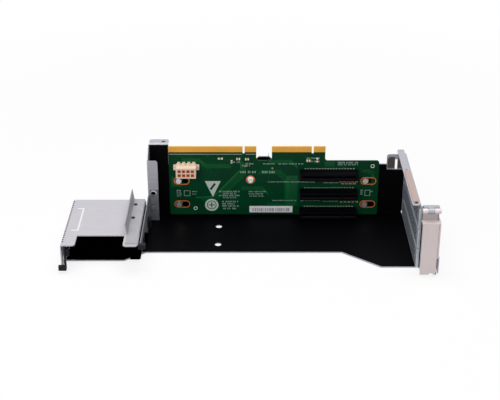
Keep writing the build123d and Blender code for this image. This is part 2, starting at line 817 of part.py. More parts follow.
def makeShelf():
    # top, two walls and the feet folded inward on the floor
    left = floorLeft - sheet
    outer = bendRadius + sheet
    foldHigh = shelfTop - outer
    foldLow = floorTop + outer
    outline = [
        (left + outer, floorBoxBack), (shelfRight - outer, floorBoxBack), (shelfRight - outer, shelfCutBack),
        (shelfRight, shelfCutBack), (shelfRight, shelfFrontRight),
        (shelfCutRight, shelfFrontRight), (shelfCutRight, shelfCutBack), (shelfCutLeft, shelfCutBack),
        (shelfCutLeft, shelfFrontLeft), (left + outer, shelfFrontLeft)]
    shelf = levelPlate(outline, shelfTop - sheet, shelfTop)
    shelf = roundEdges(shelf, shelfCorner, Axis.Z, [
        dict(x=shelfCutLeft, y=shelfFrontLeft), dict(x=shelfRight, y=shelfFrontRight),
        dict(x=shelfCutRight, y=shelfFrontRight)])
    footBack = floorBoxBack - sheet
    footFront = floorFrontLeft + sheet
    leftWall = block(left, left + sheet, shelfFrontLeft, floorBoxBack, foldLow, foldHigh)
    rise = ventPitch * rowShare
    first = (foldLow + foldHigh - (ventRows - 1) * rise) / 2
    vents = Sketch() + [Pos(y, z) * RegularPolygon(ventRadius, 6, rotation=30) for y, z in meshPoints(
        shelfFrontLeft + ventPitch, floorBoxBack - ventPitch, first, ventRows, ventPitch)]
    leftWall -= extrude(Plane.YZ.offset(left) * vents, amount=sheet)
    shelf += leftWall + bendAlongY(left + outer, foldHigh, -1, 1, shelfFrontLeft, floorBoxBack)
    shelf += bendAlongY(left + outer, foldLow, -1, -1, footFront, footBack)
    shelf += block(left + outer, floorLeft + shelfFoot, footFront, footBack, floorTop, floorTop + sheet)
    rightFront = footFront + shelfFoot * 2
    shelf += block(shelfRight - sheet, shelfRight, shelfCutBack, floorBoxBack, foldLow, foldHigh)
    shelf += bendAlongY(shelfRight - outer, foldHigh, 1, 1, shelfCutBack, floorBoxBack)
    shelf += bendAlongY(shelfRight - outer, foldLow, 1, -1, rightFront, footBack)
    shelf += block(shelfRight - sheet - shelfFoot, shelfRight - outer, rightFront, footBack,
                   floorTop, floorTop + sheet)
    return shelf


def makeGuideAngle():
    # strip along the right of the shelf with a fin folded up at its left
    front = shelfFrontRight + shelfCorner
    strip = block(angleLeft, shelfRight - angleGap, front, floorBoxBack, shelfTop, shelfTop + angleSheet)
    foot = shelfTop
    head = shelfTop + angleSheet + finHeight
    profile = [(angleLeft, foot), (angleLeft + angleSheet, foot + angleSheet),
               (angleLeft + angleSheet - finLean, head), (angleLeft - finLean, head)]
    fin = wallPlate(profile, finFront, floorBoxBack)
    angle = strip + fin
    for y in angleHoleYs:
        angle -= rodAlongZ(angleHoleX, y, angleHoleRadius, shelfTop, shelfTop + angleSheet)
    return angle


def makeDivider():
    # wall between the box and the bay; past the floor's front edge only its upper arm goes on
    rear = wallFront - returnDepth - sheet
    foldX = columnLeft + sheet + bendRadius
    foldY = rear - bendRadius
    armLow = dividerTop - dividerArmRoot
    outline = [
        (foldY, filmTop), (rear - dividerFootLength, filmTop), (rear - dividerFootLength * 2, armLow),
        (dividerFront, dividerTop - dividerArmTip), (dividerFront, dividerTop), (foldY, dividerTop)]
    divider = sidePlate(outline, columnLeft, columnLeft + sheet)
    divider += bendAlongZ(foldX, foldY, -1, 1, filmTop, dividerTop)
    divider += block(foldX, columnLeft + returnWidth, rear, rear + sheet, filmTop, dividerFlangeTop)
    return divider - rodAlongY(dividerHoleX, dividerHoleZ, dividerHoleRadius, rear, rear + sheet)


def makeDividerRivet():
    face = wallFront - returnDepth - sheet
    return rodAlongY(dividerRivetX, dividerRivetZ, rivetRadius, face - rivetHead, face)


def makeFrontClip():
    # plastic cap pushed on the free end of the divider, flush with its top
    left = columnLeft - clipOverhang
    rear = dividerFront + clipGrip
    clip = block(left, left + clipWidth, rear - clipDepth, rear, dividerTop - clipHeight, dividerTop)
    return clip - block(columnLeft, columnLeft + sheet, dividerFront, rear,
                        dividerTop - clipHeight, dividerTop)


def makeCableClip():
    side = columnLeft + sheet
    return block(side, side + cableClipDepth, cableClipFront, cableClipFront + cableClipLength,
                 cableClipLow, cableClipLow + cableClipHeight)


def makeEdgeGuard():
    # plastic foot at the front of the left wall, with a rail up to the shelf and a hook
    left = floorLeft - sheet - footOverhang
    low = floorTop + footLift
    railLeft = left + footWidth - guardRail
    foot = block(left, left + footWidth, shelfFrontLeft - footDepth, shelfFrontLeft, low, low + footHeight)
    rail = block(railLeft, railLeft + guardRail, shelfFrontLeft - guardRail, shelfFrontLeft + guardRail,
                 low, shelfTop - sheet)
    hook = block(railLeft, railLeft + hookLength, shelfFrontLeft, shelfFrontLeft + hookDepth,
                 hookLow, hookLow + hookHeight)
    return foot + rail + hook


def makeBracket(height):
    inner = endPlateX - bracketSheet
    low = height - bracketWidth / 2
    high = height + bracketWidth / 2
    rear = bracketRear
    shoulder = rear - bracketTailLength
    half = bracketTailWidth / 2
    front = endPlateFront - bracketSheet
    slope = shoulder + bracketTailChamfer
    outline = [(front, low), (shoulder, low), (slope, height - half), (rear, height - half),
               (rear, height + half), (slope, height + half), (shoulder, high), (front, high)]
    strip = sidePlate(outline, inner, endPlateX)
    rise = bracketVentPitch * rowShare
    first = height - rise * (bracketVentRows - 1) / 2
    points = meshPoints(bracketWindowFront + bracketVentRadius, bracketWindowRear - bracketVentRadius,
                        first, bracketVentRows, bracketVentPitch)
    vents = Sketch() + [Pos(y, z) * RegularPolygon(bracketVentRadius, 6, rotation=30) for y, z in points]
    strip -= extrude(Plane.YZ.offset(inner) * vents, amount=bracketSheet)
    ear = block(inner, inner + bracketEar, front, endPlateFront, low, high)
    notch = rodAlongY(inner + earNotchX, high, earNotchRadius, front, endPlateFront)
    return roundEdges(strip + (ear - notch), bracketSheet, Axis.Z, [dict(x=inner, y=front)])


def makeGasket():
    left = endPlateOut - topFlange + gasketInset
    return block(left, left + gasketWidth, gasketFront, gasketRear,
                 endPlateTop, endPlateTop + gasketThickness)


def makeDoor():
    right = doorLeft + doorWidth
    ledgeLow = doorTop - sheet
    plateFront = hingeY - knuckleOuter
    plateBack = plateFront + sheet
    stepX = right - doorStep
    panel = block(doorLeft, stepX, doorFront, doorFront + sheet, doorBottom, doorTop)
    strip = block(stepX - sheet, right, doorFront + doorStepDepth, doorFront + doorStepDepth + sheet,
                  doorFlangeBottom, doorTop)
    ledge = block(doorLeft - ledgeOverhang, right, doorFront, plateBack, ledgeLow, doorTop)
    upper = block(doorLeft, right - upperInset, plateFront, plateBack, ledgeLow,
                  hingeZ - knuckleOuter - knuckleGap)
    rightFlange = block(right - sheet, right, doorFront + doorStepDepth, doorBack, doorFlangeBottom, doorTop)
    leftFlange = block(doorLeft, doorLeft + sheet, doorFront, doorFront + sheet + doorLeftFlange,
                       doorBottom + leftFlangeLift, doorTop)
    door = panel + strip + ledge + upper + rightFlange + leftFlange
    tongueRight = tongueLeft + tongueWidth
    for x0, x1 in ((doorLeft - pinOverhang, tongueLeft - knuckleGap), (tongueRight + knuckleGap, right)):
        arm = block(x0, x1, plateFront, plateBack, doorTop, hingeZ)
        roll = rodAlongX(hingeY, hingeZ, knuckleOuter, x0, x1)
        door += arm + roll
        door -= rodAlongX(hingeY, hingeZ, knuckleInner, x0, x1)
    notch = block(doorNotchLeft, doorNotchLeft + doorNotchWidth, doorFront, doorFront + sheet,
                  doorBottom, doorBottom + doorNotchDepth)
    return door - notch


def makeCatch():
    x = doorNotchLeft + doorNotchWidth + catchGap
    back = doorFront + sheet
    low = doorBottom - catchDrop
    return block(x, x + catchWidth, back, back + catchDepth, low, low + catchHeight)


def makePin():
    return rodAlongX(hingeY, hingeZ, hingeRadius, doorLeft - pinOverhang, doorLeft + doorWidth)


def makeRivets():
    # flat heads where the rear flange meets the back wall
    heads = []
    middle = (rearFlangeLeft + backWallRight) / 2
    for index in range(2):
        z = rivetLow + index * rivetSpacing
        heads.append(rodAlongY(middle, z, rivetRadius, wallBack + sheet, wallBack + sheet + rivetHead))
    return heads


def buildPieces():
    pieces = {
        "cage": makeCage(),
        "bay_film": makeBayFilm(),
        "box_film": makeBoxFilm(),
        "cage_rivets": makeRivets(),
        "shelf": makeShelf(),
        "guide_angle": makeGuideAngle(),
        "divider_wall": makeDivider(),
        "divider_rivet": makeDividerRivet(),
        "divider_clip": makeFrontClip(),
        "cable_clip": makeCableClip(),
        "edge_guard": makeEdgeGuard(),
        "gasket_strip": makeGasket(),
        "riser_board": makeBoard(),
        "edge_contacts": makeFingers(),
        "plated_rings": makeKeyholePads(),
        "power_header": makeHeader(),
        "header_pins": makeHeaderPins(),
        "small_components": makeSmallComponents(),
        "board_label": makeLabel(),
        "keyhole_studs": makeStuds(),
        "board_standoff": makeStandoff(),
        "board_screw": makeBoardScrew(),
        "latch_door": makeDoor(),
        "latch_catch": makeCatch(),
        "latch_pin": makePin(),
    }
    for index, height in enumerate(slotHeights()):
        pieces["slot_connector_" + str(index + 1)] = makeSlotBody(height)
    for index, height in enumerate(bracketHeights()):
        pieces["slot_cover_" + str(index + 1)] = makeBracket(height)
    return pieces


def groupOf(shape):
    # a list of separate solids, or one solid, as one shape to write
    if isinstance(shape, list):
        return Compound(children=[Part() + solid for solid in shape])
    return shape


def restingPlace(pieces):
    # from the board's corner to the point under the middle of the whole
    boxes = [shape.bounding_box() for shape in pieces.values()]
    middleX = (min(box.min.X for box in boxes) + max(box.max.X for box in boxes)) / 2
    middleY = (min(box.min.Y for box in boxes) + max(box.max.Y for box in boxes)) / 2
    return Pos(-middleX, -middleY, -min(box.min.Z for box in boxes))


pieces = {name: groupOf(shape) for name, shape in buildPieces().items()}
placement = restingPlace(pieces)
os.makedirs("parts", exist_ok=True)
for name, shape in pieces.items():
    export_step(placement * shape, "parts/" + name + ".step")
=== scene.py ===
import math
import random

import bpy
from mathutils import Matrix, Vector


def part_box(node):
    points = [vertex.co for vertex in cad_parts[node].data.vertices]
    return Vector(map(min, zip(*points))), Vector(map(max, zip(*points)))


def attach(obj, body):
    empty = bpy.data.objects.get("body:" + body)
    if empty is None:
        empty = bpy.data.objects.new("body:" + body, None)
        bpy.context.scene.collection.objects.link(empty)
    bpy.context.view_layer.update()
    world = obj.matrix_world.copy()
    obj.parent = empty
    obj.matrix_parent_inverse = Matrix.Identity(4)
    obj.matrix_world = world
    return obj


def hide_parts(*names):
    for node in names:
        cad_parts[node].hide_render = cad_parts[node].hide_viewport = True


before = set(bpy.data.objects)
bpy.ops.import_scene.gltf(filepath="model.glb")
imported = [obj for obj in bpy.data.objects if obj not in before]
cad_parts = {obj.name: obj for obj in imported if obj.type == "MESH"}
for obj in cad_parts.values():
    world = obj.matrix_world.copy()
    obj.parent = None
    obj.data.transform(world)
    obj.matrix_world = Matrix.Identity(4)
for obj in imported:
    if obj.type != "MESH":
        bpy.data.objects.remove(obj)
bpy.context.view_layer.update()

mm = 0.001
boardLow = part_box("riser_board")[0]

past = 1.0  # mm that a cutter reaches past what it cuts
near = 0.1  # mm within which a vertex or a face counts as lying at a place
facing = 0.9  # least part of a normal along an axis for a face to look that way
mergeWidth = 0.002  # mm within which vertices are merged
quarter = math.radians(90)


# Shared helpers

def onBoard(x, y, z):
    # row frame place of a point in mm from the board's lower left front corner
    return boardLow + Vector((x, y, z)) * mm


def toBoard(point):
    # the other way round: a row frame point in mm from that corner
    return (Vector(point) - boardLow) / mm


def colour(code):
    # sRGB hex to the linear values that sockets take
    channels = [int(code[i:i + 2], 16) / 255 for i in (1, 3, 5)]
    linear = [c / 12.92 if c <= 0.04045 else ((c + 0.055) / 1.055) ** 2.4 for c in channels]
    return (*linear, 1.0)


def deselectAll():
    bpy.ops.object.select_all(action="DESELECT")


def editMode():
    bpy.ops.object.mode_set(mode="EDIT")


def objectMode():
    bpy.ops.object.mode_set(mode="OBJECT")


def activate(item):
    deselectAll()
    item.select_set(True)
    bpy.context.view_layer.objects.active = item


def nameIt(name):
    item = bpy.context.object
    item.name = name
    item.data.name = name
    return item


def applyPlace(item):
    activate(item)
    bpy.ops.object.transform_apply(location=True, rotation=True, scale=True)
    return item


def addBlock(name, low, high, turn=0.0):
    # block between two corners in board mm, turned about its own middle in the board's plane
    deselectAll()
    low, high = Vector(low), Vector(high)
    bpy.ops.mesh.primitive_cube_add(size=1, location=onBoard(*(low + high) / 2), rotation=(0, turn, 0))
    item = nameIt(name)
    item.scale = (high - low) * mm
    return applyPlace(item)


def addRound(name, middle, radius, length, sides, turn=(0, 0, 0)):
    # round or many-sided bar about a middle in board mm, upright unless it is turned
    deselectAll()
    bpy.ops.mesh.primitive_cylinder_add(vertices=sides, radius=radius * mm, depth=length * mm,
                                        location=onBoard(*middle), rotation=turn)
    return applyPlace(nameIt(name))


def addDisc(name, x, z, radius, front, back, sides=32):
    # in the board's plane, between two depths
    return addRound(name, (x, (front + back) / 2, z), radius, back - front, sides, (quarter, 0, 0))


def addRod(name, y, z, radius, left, right, sides=40):
    # along the board's length
    return addRound(name, ((left + right) / 2, y, z), radius, right - left, sides, (0, quarter, 0))


def addUpright(name, x, y, low, high, radius, sides=32):
    return addRound(name, (x, y, (low + high) / 2), radius, high - low, sides)


def selectNone(item, kind):
    activate(item)
    editMode()
    bpy.ops.mesh.select_mode(type=kind)
    bpy.ops.mesh.select_all(action="DESELECT")
    objectMode()


def pickVertices(item, test):
    # edit mode with the vertices selected whose place in board mm passes the test
    selectNone(item, "VERT")
    for vertex in item.data.vertices:
        vertex.select = test(toBoard(vertex.co))
    editMode()


def pickFaces(item, test):
    # edit mode with the faces selected whose middle in board mm and normal pass the test
    selectNone(item, "FACE")
    for face in item.data.polygons:
        face.select = test(toBoard(face.center), face.normal)
    editMode()


def looksForward(place, normal):
    return normal.y < -facing


def looksBack(place, normal):
    return normal.y > facing


def slideVertices(item, test, move):
    # moves the vertices that pass the test, in board mm
    pickVertices(item, test)
    bpy.ops.transform.translate(value=Vector(move) * mm)
    objectMode()
    return item


def shrinkFaces(item, test, ratio, middle):
    # narrows the faces that pass the test in the board's plane, about a middle in board mm
    pickFaces(item, test)
    bpy.ops.transform.resize(value=(ratio, 1, ratio), center_override=onBoard(*middle))
    objectMode()


def bevelAll(item, width, segments=2):
    # every edge with a corner of more than the modifier's angle, width in mm
    activate(item)
    modifier = item.modifiers.new("bevel", "BEVEL")
    modifier.width = width * mm
    modifier.segments = segments
    modifier.limit_method = "ANGLE"
    bpy.ops.object.modifier_apply(modifier=modifier.name)


def bevelledBlock(name, low, high, width, segments=1):
    item = addBlock(name, low, high)
    bevelAll(item, width, segments)
    return item


def extrudeFaces(item, test, move, thinner=None):
    # draws the faces that pass the test out by a move in board mm and narrows their end in height
    pickFaces(item, test)
    bpy.ops.mesh.extrude_region_move(TRANSFORM_OT_translate={"value": Vector(move) * mm})
    if thinner:
        ratio, middle = thinner
        bpy.ops.transform.resize(value=(1, 1, ratio), center_override=onBoard(0, 0, middle))
    objectMode()


def addStadium(name, x, z, length, height, front, back):
    # disc about the right end's middle, whose left half is drawn out until it has the length
    item = addDisc(name, x, z, height / 2, front, back)
    return slideVertices(item, lambda place: place.x < x - near, (height - length, 0, 0))


def repeat(item, count, step):
    # copies in a row, step in board mm
    activate(item)
    modifier = item.modifiers.new("row", "ARRAY")
    modifier.count = count
    modifier.use_relative_offset = False
    modifier.use_constant_offset = True
    modifier.constant_offset_displace = Vector(step) * mm
    bpy.ops.object.modifier_apply(modifier=modifier.name)
    return item


def copyOf(item, name, move):
    # a piece of its own with its own mesh, moved in board mm
    other = item.copy()
    other.data = item.data.copy()
    other.name = other.data.name = name
    other.location = Vector(move) * mm
    bpy.context.scene.collection.objects.link(other)
    return other


def copyTo(item, moves):
    # own copies of one modelled piece at several moves, joined with it
    return joinAll(item.name, [item] + [copyOf(item, "copy", move) for move in moves])


def joinAll(name, items):
    # one mesh of them all, with its origin at the frame's
    deselectAll()
    for item in items:
        item.select_set(True)
    bpy.context.view_layer.objects.active = items[0]
    if len(items) > 1:
        bpy.ops.object.join()
    return applyPlace(nameIt(name))


def combine(item, tool, operation):
    # exact boolean that uses the tool up
    activate(item)
    modifier = item.modifiers.new("combine", "BOOLEAN")
    modifier.operation = operation
    modifier.solver = "EXACT"
    modifier.object = tool
    bpy.ops.object.modifier_apply(modifier=modifier.name)
    bpy.data.objects.remove(tool)
    return item


def cutOut(item, cutter):
    return combine(item, cutter, "DIFFERENCE")


def weld(item, other):
    return combine(item, other, "UNION")


def finishPiece(item, material, body="frame", replaced=(), smooth=None):
    # clean mesh, normals outward, one material, and its place among the CAD's nodes
    activate(item)
    editMode()
    bpy.ops.mesh.select_all(action="SELECT")
    bpy.ops.mesh.remove_doubles(threshold=mergeWidth * mm)
    bpy.ops.mesh.normals_make_consistent(inside=False)
    objectMode()
    item.data.materials.clear()
    item.data.materials.append(material)
    if smooth:
        bpy.ops.object.shade_smooth_by_angle(angle=math.radians(smooth))
    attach(item, body)
    if replaced:
        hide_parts(*replaced)


# Materials

# the colour sockets of a mix node, whose names repeat
mixFirst, mixSecond, mixOut = 6, 7, 2
grainDetail, grainRoughness, grainBump = 3.0, 0.6, 0.3


def addNode(tree, kind, settings=None, links=None, **values):
    # one node with its own settings, socket values by name and links into sockets by name or number
    node = tree.nodes.new(kind)
    for key, value in (settings or {}).items():
        setattr(node, key, value)
    for key, value in values.items():
        node.inputs[key.replace("_", " ")].default_value = value
    for key, socket in (links or {}).items():
        tree.links.new(socket, node.inputs[key])
    return node


def newMaterial(name, code, roughness, metallic=0.0, specular=0.5):
    # even colour, gloss by roughness
    material = bpy.data.materials.new(name)
    material.use_nodes = True
    shader = material.node_tree.nodes["Principled BSDF"]
    shader.inputs["Base Color"].default_value = colour(code)
    shader.inputs["Roughness"].default_value = roughness
    shader.inputs["Metallic"].default_value = metallic
    shader.inputs["Specular IOR Level"].default_value = specular
    return material


def addGrain(material, grain, darker, lighter, roughLow, roughHigh, bump=0.0):
    # streaked or even noise: grain is its size in mm along each axis
    tree = material.node_tree
    shader = tree.nodes["Principled BSDF"]
    place = addNode(tree, "ShaderNodeTexCoord")
    scale = tuple(1000 / size for size in grain)
    mapping = addNode(tree, "ShaderNodeMapping", links={"Vector": place.outputs["Object"]}, Scale=scale)
    noise = addNode(tree, "ShaderNodeTexNoise", links={"Vector": mapping.outputs["Vector"]},
                    Scale=1.0, Detail=grainDetail, Roughness=grainRoughness)
    mix = addNode(tree, "ShaderNodeMix", {"data_type": "RGBA"}, {"Factor": noise.outputs["Fac"]})
    mix.inputs[mixFirst].default_value = colour(darker)
    mix.inputs[mixSecond].default_value = colour(lighter)
    tree.links.new(mix.outputs[mixOut], shader.inputs["Base Color"])
    rough = addNode(tree, "ShaderNodeMapRange", links={"Value": noise.outputs["Fac"]},
                    To_Min=roughLow, To_Max=roughHigh)
    tree.links.new(rough.outputs["Result"], shader.inputs["Roughness"])
    if bump:
        lift = addNode(tree, "ShaderNodeBump", links={"Height": noise.outputs["Fac"]},
                       Strength=grainBump, Distance=bump * mm)
        tree.links.new(lift.outputs["Normal"], shader.inputs["Normal"])
    return material


def addBand(material, above, code):
    # another colour above a height in the row frame, such as bare laminate along a cut edge
    tree = material.node_tree
    shader = tree.nodes["Principled BSDF"]
    place = addNode(tree, "ShaderNodeTexCoord")
    parts = addNode(tree, "ShaderNodeSeparateXYZ", links={"Vector": place.outputs["Object"]})
    higher = addNode(tree, "ShaderNodeMath", {"operation": "GREATER_THAN"}, {0: parts.outputs["Z"]})
    higher.inputs[1].default_value = above
    mix = addNode(tree, "ShaderNodeMix", {"data_type": "RGBA"}, {"Factor": higher.outputs[0]})
    tree.links.new(shader.inputs["Base Color"].links[0].from_socket, mix.inputs[mixFirst])
    mix.inputs[mixSecond].default_value = colour(code)
    tree.links.new(mix.outputs[mixOut], shader.inputs["Base Color"])
    return material


# zinc-plated steel sheet, rolled: satin, with faint streaks along the sheet
zincSheet = addGrain(newMaterial("zincPlatedSteel", "#b9b8c0", 0.45, 0.4), (40, 2.5, 2.5),
                     "#a4a4ad", "#c2c1c9", 0.38, 0.52)
# the same plating on the shelf, paler and more even
paleSheet = addGrain(newMaterial("paleZincSheet", "#c6c4ca", 0.55, 0.2), (14, 2.2, 2.2),
                     "#bdbbc1", "#cfcdd3", 0.48, 0.6, 0.05)
# painted shade: the divider wall's plating, darkened for the shade it stands in between the shelf and the
# channel, with a mottled grain
shadedDividerSheet = addGrain(newMaterial("shadedDividerZinc", "#7b7b82", 0.5, 0.3), (9, 9, 9),
                     "#5d5f66", "#96979e", 0.42, 0.6)
# painted shade: the guide angle's plating, a little greyer than the shelf's for the fin's shadow on it
shadedGuideSheet = addGrain(newMaterial("shadedGuideZinc", "#aeadb2", 0.5, 0.25), (9, 9, 9),
                      "#9d9ca1", "#bcbbc0", 0.45, 0.58)
# stamped blank brackets: darker bluish plating
coverSheet = addGrain(newMaterial("stampedBracketSteel", "#bfc6cf", 0.4, 0.45), (6, 12, 2),
                      "#b2bac4", "#ccd3db", 0.32, 0.46)
# painted shade: the walls of its punched holes, near black for the shade inside the holes
holeShadeEdge = newMaterial("punchedHoleShade", "#1a2530", 0.6, 0.3)
# nickel-plated latch, slightly warm
latchSheet = addGrain(newMaterial("nickelPlatedLatch", "#e4d5d6", 0.5, 0.2), (3, 3, 25),
                      "#dccdce", "#eadcdc", 0.44, 0.56)
# painted shade: grey on the plate between the ledge and the rolls, where they shade it, and the pale latch
# tone again on the rolls
addBand(latchSheet, onBoard(0, 0, 50.7).z, "#b3abad")
addBand(latchSheet, onBoard(0, 0, 57.4).z, "#e8dbdb")
# polished plating of studs, pins and rivets
brightMetal = newMaterial("brightPlatedSteel", "#e4dfdf", 0.28, 0.85)
# insulating polyester film: black with a faint wide gloss
blackFilm = newMaterial("blackPolyesterFilm", "#010103", 0.5, 0.0, 0.05)
# painted shade: the same film with a matt face and no gloss, a shaded copy for the deep shade in the left box
shadedBoxFilm = newMaterial("shadedBoxPolyesterFilm", "#010102", 0.9, 0.0, 0.0)
# painted shade: brown patches on the guard tab, for the tab's shade and its dark reflection
tabShadeBrown = newMaterial("brownTabShade", "#5a504f", 0.45, 0.0, 0.2)
# moulded clips and edge guard, grey with a violet tint
darkPlastic = newMaterial("mouldedNylon", "#15121a", 0.55, 0.0, 0.2)
# glass-filled housings of the card slots
slotPlastic = newMaterial("glassFilledNylon", "#020104", 0.5, 0.0, 0.07)
# uncoloured nylon of the power socket, glossy from the mould
ivoryPlastic = newMaterial("naturalNylon", "#f4dcc6", 0.42)
# solder mask: deep green with a weak gloss
solderMask = addGrain(newMaterial("greenSolderMask", "#003a22", 0.36, 0.0, 0.08), (26, 26, 26),
                      "#002b15", "#004b2c", 0.32, 0.42)
# bare laminate between the fingers, pale where its bevelled edge catches the light
addBand(solderMask, onBoard(0, 0, 66.95).z, "#c2842f")
addBand(solderMask, onBoard(0, 0, 72.5).z, "#ffdf8c")
# hard gold over nickel on the card edges
goldPlate = newMaterial("hardGoldPlating", "#ffbc4c", 0.36, 0.25)
# bare copper of the keyhole pads, orange under its clear lacquer
copperPad = newMaterial("barePadCopper", "#e4743a", 0.42, 0.4)
# fired ceramic bodies of the small parts, matt tan
chipCeramic = newMaterial("firedCeramic", "#a98b62", 0.5)
# lacquered bodies of the resistors, brick red
chipBrown = newMaterial("lacqueredCeramic", "#b8431f", 0.45)
# coated thermal paper of the label
labelPaper = newMaterial("thermalLabelPaper", "#efedf2", 0.65)
# woven conductive cloth around the gasket's foam
gasketCloth = addGrain(newMaterial("conductiveGasketCloth", "#c3aaa2", 0.85), (0.8, 0.8, 0.8),
                       "#b39a92", "#d1b9b1", 0.8, 0.9, 0.1)
# screen printed ink, thin enough for the mask to tint it
silkInk = newMaterial("whiteScreenInk", "#b9d2c7", 0.6)
# the same ink in the large plain marks, where it covers better
markInk = newMaterial("whiteMarkInk", "#c6d3cb", 0.6)
# solder mask over the conductors, lighter than over bare laminate
traceMask = newMaterial("maskOverCopper", "#06652f", 0.34, 0.0, 0.2)
# solder mask over the wide copper planes, between the two
planeMask = newMaterial("maskOverPlane", "#034f2a", 0.34, 0.0, 0.2)
# bright tin of the plain holes, the solder tails and the ends of the small parts
solderTin = newMaterial("solderTin", "#f6f2ea", 0.45, 0.2)
# stamped bronze of the sockets inside the power socket
bronze = newMaterial("stampedBronze", "#b9521f", 0.45, 0.2)
# thermal print, grey because the bars are finer than the picture
labelInk = newMaterial("labelInk", "#8b8894", 0.65)
# white stamping ink on the shelf
shelfInk = newMaterial("shelfPaint", "#f2f0f4", 0.55)

# the CAD's slots by name
slotMaterials = {
    "zinc_sheet": zincSheet, "pale_sheet": paleSheet, "bracket_sheet": coverSheet, "latch_sheet": latchSheet,
    "bright_metal": brightMetal, "black_film": blackFilm, "dark_plastic": darkPlastic,
    "slot_plastic": slotPlastic, "ivory_plastic": ivoryPlastic, "board": solderMask, "gold": goldPlate,
    "copper": copperPad, "chip": chipCeramic, "label": labelPaper, "gasket": gasketCloth,
}
# nodes whose piece is darker than the rest of its slot, with painted shade on the divider wall, the guide
# angle and the box film
nodeMaterials = {"divider_wall": shadedDividerSheet, "latch_catch": darkPlastic, "guide_angle": shadedGuideSheet,
                 "box_film": shadedBoxFilm}


def paintNodes():
    # each node keeps one material, by its own name first and by its slot's otherwise
    for name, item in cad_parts.items():
        slotName = item.data.materials[0].name.split(".")[0]
        item.data.materials.clear()
        item.data.materials.append(nodeMaterials.get(name, slotMaterials[slotName]))


paintNodes()
print("materials done")


# Board print: rows of plain ticks where a board has small text, outlines and two plain marks

silk = {
    "thickness": 0.03, "line": 0.3, "bevel": 0.01, "seed": 7,
    # shares of a row's height: width of a tick and step to the next one
    "tick": 0.22, "step": 0.66,
    # shares of a step: lean of a tick, least and greatest gap after a word
    "lean": 0.1, "gap": (0.6, 1.4),
    # least and greatest number of letters
    "letters": (2, 6),
    # left end, right end, height above the board's foot, tick height
    "rows": [
        (60, 69, 55.6, 1.6), (71, 79, 52.0, 1.6), (74, 82, 54.0, 1.4), (91, 103, 54.0, 1.3),
        (106, 130, 54.0, 1.3), (133, 146, 59.8, 1.5), (133, 146, 56.4, 1.5), (163, 183, 55.0, 1.8),
        (163, 183, 53.0, 1.5), (69, 86, 44.8, 2.2), (90, 104, 44.8, 2.2), (96, 142, 34.8, 1.1),
        (100, 124, 14.6, 1.1), (128, 148, 14.6, 1.1), (48, 69, 24.2, 1.5), (52, 66, 22.0, 1.5),
        (48, 69, 19.8, 1.5), (52, 66, 17.6, 1.5), (51, 67, 13.2, 1.6), (51, 64, 10.8, 1.6),
        (51, 68, 8.4, 1.6), (52, 66, 5.6, 1.6), (77, 94, 24.2, 1.2), (77, 92, 21.8, 1.2),
        (78, 92, 19.4, 1.2), (168, 184, 36.2, 1.3), (168, 183, 16.4, 1.3), (150, 165, 33.9, 1.2),
        (150, 165, 13.7, 1.2), (7, 12, 25.6, 1.3), (7, 12, 23.6, 1.3), (7, 12, 21.6, 1.3),
        (7, 12, 19.6, 1.3), (22, 27, 24.4, 1.1), (22, 27, 21.6, 1.1), (186, 189, 25.6, 1.3),
        (186, 189, 23.6, 1.3), (186, 189, 21.6, 1.3), (196, 199, 24.4, 1.1)
    ],
    # left, low, right, high
    "outlines": [(14.0, 20.2, 20.0, 26.0), (190.2, 20.4, 195.4, 26.6)],
    # left and right ends of the line under the card edges, its height and width
    "edgeSpans": [(0.6, 71.0), (74.0, 84.0)], "edgeHeight": 64.6, "edgeLine": 0.42,
}


def silkRow(left, right, low, height, picker):
    # words of equal ticks: the tick is modelled once, a word is a row of it
    words = []
    x = left
    tick = height * silk["tick"]
    step = height * silk["step"]
    while x + step < right:
        letters = picker.randint(*silk["letters"])
        letters = max(1, min(letters, int((right - x) / step)))
        block = addBlock("tick", (x, -silk["thickness"], low), (x + tick, 0, low + height))
        slideVertices(block, lambda place: place.z > low + height / 2, (step * silk["lean"], 0, 0))
        words.append(repeat(block, letters, (step, 0, 0)))
        x += letters * step + step * picker.uniform(*silk["gap"])
    return words


def silkOutline(left, low, right, high):
    # a plate whose middle is cut away
    line = silk["line"]
    plate = addBlock("outline", (left, -silk["thickness"], low), (right, 0, high))
    inner = addBlock("inner", (left + line, -past, low + line), (right - line, past, high - line))
    return cutOut(plate, inner)


def makeSilkText():
    picker = random.Random(silk["seed"])
    words = []
    for row in silk["rows"]:
        words += silkRow(*row, picker)
    finishPiece(joinAll("boardTicks", words), silkInk)


def makeSilkOutlines():
    frames = [silkOutline(*outline) for outline in silk["outlines"]]
    low = silk["edgeHeight"]
    for left, right in silk["edgeSpans"]:
        frames.append(bevelledBlock("bar", (left, -silk["thickness"], low), (right, 0, low + silk["edgeLine"]),
                                    silk["bevel"]))
    finishPiece(joinAll("boardOutlines", frames), silkInk)


marks = {
    "thickness": 0.03,
    # the triangle points down: its tip is this share of its width
    "triangleX": 42.1, "triangleTop": 36.2, "triangleLow": 19.4, "triangleWidth": 15.4, "tip": 0.02,
    # the bar in it: half width, foot and top from the triangle's middle, turn in degrees
    "barHalf": 1.0, "barLow": -1.5, "barTop": 6.5, "barTurn": 35,
    # the ring lies between two shares of the disc's radius, the cross has two half lengths
    "discX": 40.8, "discZ": 10.3, "discRadius": 6.6, "discSides": 48, "ring": (0.6, 0.72),
    "ringSides": 40, "cross": (3.0, 0.5),
}


